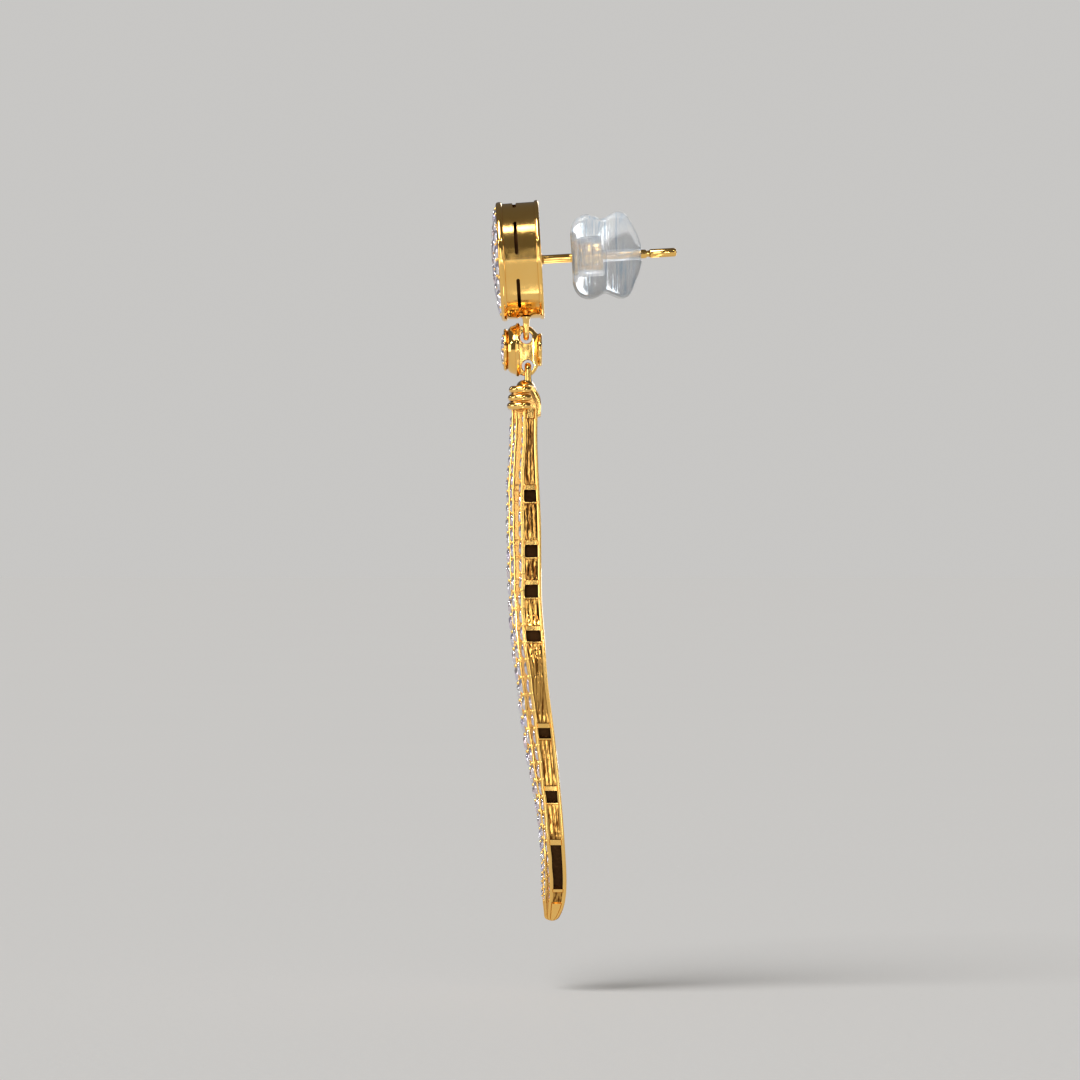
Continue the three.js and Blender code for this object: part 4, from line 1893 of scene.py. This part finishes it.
    def finish_at(self, ring: int, place: int) -> Dress:
        """Finish of a face.

        Args:
            ring: the number of its upper ring.
            place: its first point's place in the ring.

        Returns:
            The finish.
        """
        outer_rows = 2 * RAIL_POINTS + 4 + self.flute_points * self.flutes - 1
        left_rows = outer_rows if self.number == 0 else INNER_ROWS
        right_rows = outer_rows if self.number == self.count - 1 else INNER_ROWS
        # Channel faces and the middles of inner walls take the recess's painted shade.
        if place - left_rows in CHANNEL_FACES:
            return Dress.RECESS_SHADE
        on_left = place < left_rows
        rows = left_rows if on_left else right_rows
        side = place if on_left else place - left_rows - CREST_POINTS
        if rows == INNER_ROWS:
            first, last = INNER_POLISHED[0], rows - INNER_POLISHED[1] - 1
            return Dress.RECESS_SHADE if first <= side <= last else Dress.POLISHED
        if not RAIL_POINTS <= side <= rows - RAIL_POINTS - 2:
            return Dress.POLISHED
        # Sunk outer panels take the fluted finish's painted dark reflection, and deep pocket floors the
        # near-black painted shadow.
        shallow = min(self.depth_at(self.levels[ring]), self.depth_at(self.levels[ring + 1]))
        if shallow > self.shadow_from:
            return Dress.SHADOW
        return Dress.FLUTED_DARK_REFLECTION if shallow > self.fluted_from else Dress.POLISHED

    def seats(self, rng: random.Random) -> tuple[list[Seat], list[Seat]]:
        """Stones down the strand's channel, and beads beside the joints between them.

        Args:
            rng: turns the stones.

        Returns:
            The stones' seats and the beads' seats.
        """
        stones: list[Seat] = []
        beads: list[Seat] = []
        sink = -self.stone_rise + self.stone_sink * self.set_back()
        z = self.channel_top - self.first_stone - STAGGER[self.number]
        while z > self.channel_end + self.last_stone:
            left, right = self.edges(z)
            lip = min(self.lip, self.lip_share * (right - left))
            width = min(self.stone_most, right - left - 2 * lip + self.stone_overlap)
            fall = self.front(z - self.slope_reach) - self.front(z + self.slope_reach)
            facing = Vector((0.0, -1.0, -fall / (2 * self.slope_reach))).normalized()
            place = Vector(((left + right) / 2, self.front(z), z)) - facing * sink
            stones.append(Seat(place, facing, width, rng.uniform(0, math.pi)))
            joint = z - width / 2 - self.stone_gap / 2
            left, right = self.edges(joint)
            bead = self.bead_share * width + self.bead_more
            for x in (left + lip * self.bead_lip, right - lip * self.bead_lip):
                spot = Vector((x, self.front(joint), joint)) + facing * (self.bead_rise - sink)
                beads.append(Seat(spot, facing, bead, 0.0))
            z -= width + self.stone_gap
        return stones, beads


@dataclass
class Pendant(Assembly):
    """The tassel pendant: bail, neck, ribbed collar, hood and five paved strands.

    The core's outline and the hood's line are (y, height over the collar's top).
    """

    strands: int = 5
    bail_wire: float = 0.28
    bail_half: float = 0.98
    bail_foot: float = -10.45
    bail_bend: float = 0.42
    bail_sides: int = 18
    solder: Pair = (0.2, 0.08)
    rib_places: tuple[Pair, ...] = ((-10.72, -2.66), (-11.38, -2.74), (-12.04, -2.82))
    rib_back: float = -0.42
    rib_height: float = 0.31
    rib_bulge: float = 0.3
    rib_steps: int = 16
    rib_sides: int = 14
    collar_half: float = 2.75
    collar_rise: float = 0.3
    core_half: float = 2.42
    core_ease: Pair = (0.1, 0.15)
    core_outline: tuple[Pair, ...] = (
        (-2.34, -0.1), (-1.0, -0.02), (-0.62, -0.36), (-0.3, -0.9),
        (-0.3, -2.42), (-0.42, -1.96), (-2.34, -1.96),
    )
    hood_half: float = 2.46
    hood_ease: float = 0.1
    hood_steps: int = 20
    hood_line: tuple[Pair, ...] = (
        (-1.3, 0.1), (-0.95, -0.03), (-0.5, -0.5), (-0.24, -1.1), (-0.2, -1.8), (-0.22, -2.5),
    )
    hood_outer: Pair = (0.16, 0.05)
    hood_inner: Pair = (0.1, 0.03)
    neck_top: float = -9.86
    neck_y: float = -1.2
    neck_shift: float = 0.1
    neck_half: float = 2.3
    neck_depth: float = 1.1
    neck_swell: float = 0.62
    neck_least: float = 0.12
    neck_curve: float = 2.4
    neck_sides: int = 40
    neck_shares: tuple[float, ...] = (0.0, 0.3, 0.55, 0.75, 0.9, 0.97, 1.0)
    crease: float = 30.0
    seed: int = 11

    def ribs(self, shell: Shell) -> None:
        """The collar's three rounded ribs, each a closed band.

        Args:
            shell: what they are added to.
        """
        for z, front in self.rib_places:
            middle = (front + self.rib_back) / 2
            radius = (self.rib_back - front) / 2 - self.rib_bulge
            flat = self.collar_half - radius - self.rib_bulge
            rings = []
            for side, start in ((1, -90), (-1, 90)):
                for i in range(self.rib_steps + 1):
                    angle = math.radians(start + 180 * i / self.rib_steps)
                    outward = Vector((math.cos(angle), math.sin(angle), 0.0))
                    centre = Vector((side * flat, middle, z)) + outward * radius
                    ring = []
                    for turn in circle_turns(self.rib_sides):
                        bulge = outward * (self.rib_bulge * math.cos(turn))
                        lift = Vector((0, 0, self.rib_height * math.sin(turn)))
                        ring.append(tuple(centre + bulge + lift))
                    rings.append(ring)
            shell.loft(rings, Dress.POLISHED, looped=True)

    def core(self, shell: Shell) -> None:
        """The body inside the ribs, and the hood that runs from the neck down the back.

        Args:
            shell: what they are added to.
        """
        top = self.rib_places[0][0] + self.collar_rise
        corner, ease = self.core_ease
        outline = rounded([(y, top + z) for y, z in self.core_outline], corner)
        # The core between the ribs takes the recess's painted shade.
        shell.slab(outline, -self.core_half, self.core_half, ease, Dress.RECESS_SHADE)
        line = smooth_line([(y, top + z) for y, z in self.hood_line], self.hood_steps)
        hood = [(y + self.hood_outer[0], z + self.hood_outer[1]) for y, z in line]
        hood += [(y - self.hood_inner[0], z - self.hood_inner[1]) for y, z in reversed(line)]
        shell.slab(hood, -self.hood_half, self.hood_half, self.hood_ease)

    def neck(self, shell: Shell) -> None:
        """The low dome between collar and bail.

        Args:
            shell: what it is added to.
        """
        rings = []
        foot = self.rib_places[0][0]
        for share in self.neck_shares:
            z = foot + (self.neck_top - foot) * share
            swell = math.sqrt(max(0.0, 1 - share**self.neck_curve)) * self.neck_swell + self.neck_least
            ring = []
            for turn in circle_turns(self.neck_sides):
                y = self.neck_y - self.neck_shift + self.neck_depth * swell * math.sin(turn)
                ring.append((self.neck_half * swell * math.cos(turn), y, z))
            rings.append(ring)
        shell.loft(rings)

    def bail(self, shell: Shell) -> None:
        """The bail through the link's lower eye.

        Args:
            shell: what it is added to.
        """
        route = bent_wire(LOWER_EYE, self.bail_foot, self.bail_half, self.bail_bend)
        shell.wire(route, soldered(len(route), self.bail_wire, self.solder), self.bail_sides)

    def casting(self, strands: Sequence[Strand]) -> bpy.types.Object:
        """All of the pendant's metal.

        Args:
            strands: its strands.

        Returns:
            The piece.
        """
        shell = Shell()
        for strand in strands:
            shell.loft([strand.ring(z) for z in strand.levels], strand.finish_at)
        self.ribs(shell)
        self.core(shell)
        self.neck(shell)
        self.bail(shell)
        finishes = {
            Dress.POLISHED: self.palette.polished,
            Dress.RECESS_SHADE: self.palette.recess,
            Dress.FLUTED_DARK_REFLECTION: self.palette.fluted,
            Dress.SHADOW: self.palette.shadow,
        }
        materials = [finishes[dress] for dress in Dress]
        return shell.piece("pendant_casting", materials, crease=self.crease)

    def build(self) -> None:
        """Makes the pendant's pieces."""
        form = PendantForm(PENDANT_SECTIONS)
        strands = [Strand(form, number, self.strands) for number in range(self.strands)]
        self.settle(self.casting(strands), Slot.GOLD, "pendant_frame")
        rng = random.Random(self.seed)
        all_beads: list[Seat] = []
        for strand in strands:
            stones, beads = strand.seats(rng)
            all_beads += beads
            name = f"strand_stones_{strand.number + 1}"
            gems = stones_shell(stones, SHALLOW).piece(name, [self.palette.stones], crease=None)
            self.settle(gems, Slot.PAVE, f"pendant_pave_{strand.number + 1}")
        beads_piece = beads_shell(all_beads).piece("strand_beads", [self.palette.beads], crease=BEAD_CREASE)
        self.settle(beads_piece, Slot.GOLD)


# ------------------------------------------------------------------------------- studio


@dataclass(frozen=True)
class SoftBox:
    """A lamp with a flat front: its middle and size in millimetres and how bright its front is."""

    name: str
    place: tuple[float, float, float]
    size: Pair
    brightness: float
    colour: Colour = (1.0, 1.0, 1.0)


@dataclass
class Studio:
    """Pale floor, soft light and the camera square to the earring's side."""

    palette: Palette
    floor_z: float = -60.0
    floor_radius: float = 5000.0
    floor_sides: int = 64
    centre_y: float = -0.12
    centre_z: float = -23.0
    view_width: float = 88.6
    lens: float = 180.0
    sensor: float = 36.0
    clip: Pair = (0.01, 20.0)
    reflected: Colour = (0.11, 0.105, 0.10)
    seen: Colour = (0.576, 0.568, 0.555)
    spared: bpy.types.Collection | None = None
    daylight: float = 2.7
    daylight_distance: float = 600.0
    daylight_from: tuple[float, float, float] = (0.40, -0.38, 0.83)
    daylight_spread: float = 38.0
    boxes: tuple[SoftBox, ...] = (
        SoftBox("beside_camera", (560.0, -120.0, 90.0), (120.0, 260.0), 3.2),
        SoftBox("strip_by_camera", (600.0, 24.0, -10.0), (26.0, 420.0), 5.0),
        SoftBox("low_strip", (28.0, 5.0, -48.5), (6.0, 20.0), 3.4),
        SoftBox("low_strip_behind", (-28.0, 5.0, -48.5), (6.0, 20.0), 3.4),
        SoftBox("strip_to_front", (470.0, -310.0, 0.0), (60.0, 420.0), 3.2),
        SoftBox("strip_to_back", (470.0, 310.0, 0.0), (60.0, 420.0), 2.6),
        SoftBox("far_side", (-520.0, 120.0, 90.0), (120.0, 260.0), 3.0),
        SoftBox("front", (90.0, -520.0, 40.0), (230.0, 200.0), 3.0),
        SoftBox("behind", (60.0, 520.0, 70.0), (120.0, 240.0), 2.4),
        SoftBox("spark_high", (380.0, 120.0, 330.0), (26.0, 26.0), 90.0),
        SoftBox("spark_level", (520.0, 60.0, -4.0), (22.0, 22.0), 60.0, (1.0, 0.97, 0.92)),
        SoftBox("spark_front", (180.0, -430.0, 210.0), (26.0, 26.0), 90.0, (0.96, 0.97, 1.0)),
        SoftBox("spark_left", (-250.0, -420.0, 160.0), (24.0, 24.0), 80.0, (0.96, 0.97, 1.0)),
    )

    def floor(self) -> None:
        """The round floor, which the soft boxes leave unlit."""
        sides = self.floor_sides
        points = [(0.0, 0.0, self.floor_z), *level_circle(self.floor_radius, self.floor_z, sides)]
        faces = [(0, 1 + i, 1 + (i + 1) % sides) for i in range(sides)]
        mesh = bpy.data.meshes.new("floor")
        mesh.from_pydata([tuple(c * MM for c in point) for point in points], [], faces)
        mesh.materials.append(self.palette.plaster)
        floor = added("floor", mesh)
        self.spared = bpy.data.collections.new("not_lit_by_boxes")
        self.spared.objects.link(floor)
        self.spared.collection_objects[0].light_linking.link_state = "EXCLUDE"

    def lamp(self, name: str, data: bpy.types.Light, place: Vector, aim: Vector) -> None:
        """Hangs a lamp.

        Args:
            name: its name.
            data: the light.
            place: where it hangs, in millimetres.
            aim: the way it shines.
        """
        lamp = added(name, data)
        lamp.location = place * MM
        lamp.rotation_euler = aim.to_track_quat("-Z", "Y").to_euler()
        lamp.visible_camera = False
        if data.type == "AREA":
            lamp.light_linking.receiver_collection = self.spared

    def lights(self) -> None:
        """Even daylight from above and soft boxes round about."""
        sky = bpy.data.lights.new("daylight", "SUN")
        sky.energy = self.daylight
        sky.angle = math.radians(self.daylight_spread)
        high = Vector(self.daylight_from)
        self.lamp("daylight", sky, high * self.daylight_distance, -high)
        middle = Vector((0.0, self.centre_y, self.centre_z))
        for box in self.boxes:
            data = bpy.data.lights.new(box.name, "AREA")
            data.shape = "RECTANGLE"
            data.size = box.size[0] * MM
            data.size_y = box.size[1] * MM
            data.energy = box.brightness * math.pi * data.size * data.size_y
            data.color = box.colour
            self.lamp(box.name, data, Vector(box.place), middle - Vector(box.place))

    def surround(self) -> None:
        """A pale surround behind the floor that shines only dimly on the earring."""
        world = bpy.data.worlds.new("surround")
        graph = Graph(world)
        to_camera = graph.add("LightPath", output="Is Camera Ray")
        dim = graph.add("Background", {}, {"Color": (*self.reflected, 1.0)})
        pale = graph.add("Background", {}, {"Color": (*self.seen, 1.0)})
        mixed = graph.add("MixShader", {}, {0: to_camera, 1: dim, 2: pale})
        graph.add("OutputWorld", {}, {"Surface": mixed})
        bpy.context.scene.world = world

    def camera(self) -> None:
        """A long lens level with the middle of the drop."""
        data = bpy.data.cameras.new("camera")
        data.lens = self.lens
        data.sensor_width = self.sensor
        data.clip_start, data.clip_end = self.clip
        camera = added("camera", data)
        distance = self.view_width * self.lens / self.sensor
        camera.location = Vector((distance, self.centre_y, self.centre_z)) * MM
        camera.rotation_euler = Vector((-1, 0, 0)).to_track_quat("-Z", "Y").to_euler()
        bpy.context.scene.camera = camera

    def build(self) -> None:
        """Sets up the studio."""
        self.camera()
        self.floor()
        self.lights()
        self.surround()
        bpy.context.scene.view_settings.view_transform = "Standard"


def main() -> None:
    """Builds the earring and its studio."""
    logging.basicConfig(level=logging.INFO, format="%(message)s")
    palette = Palette.mixed()
    Studio(palette).build()
    Stud(palette, "head").build()
    Clutch(palette, "clutch").build()
    Link(palette, "link").build()
    Pendant(palette, "pendant").build()


if __name__ == "__main__":
    main()
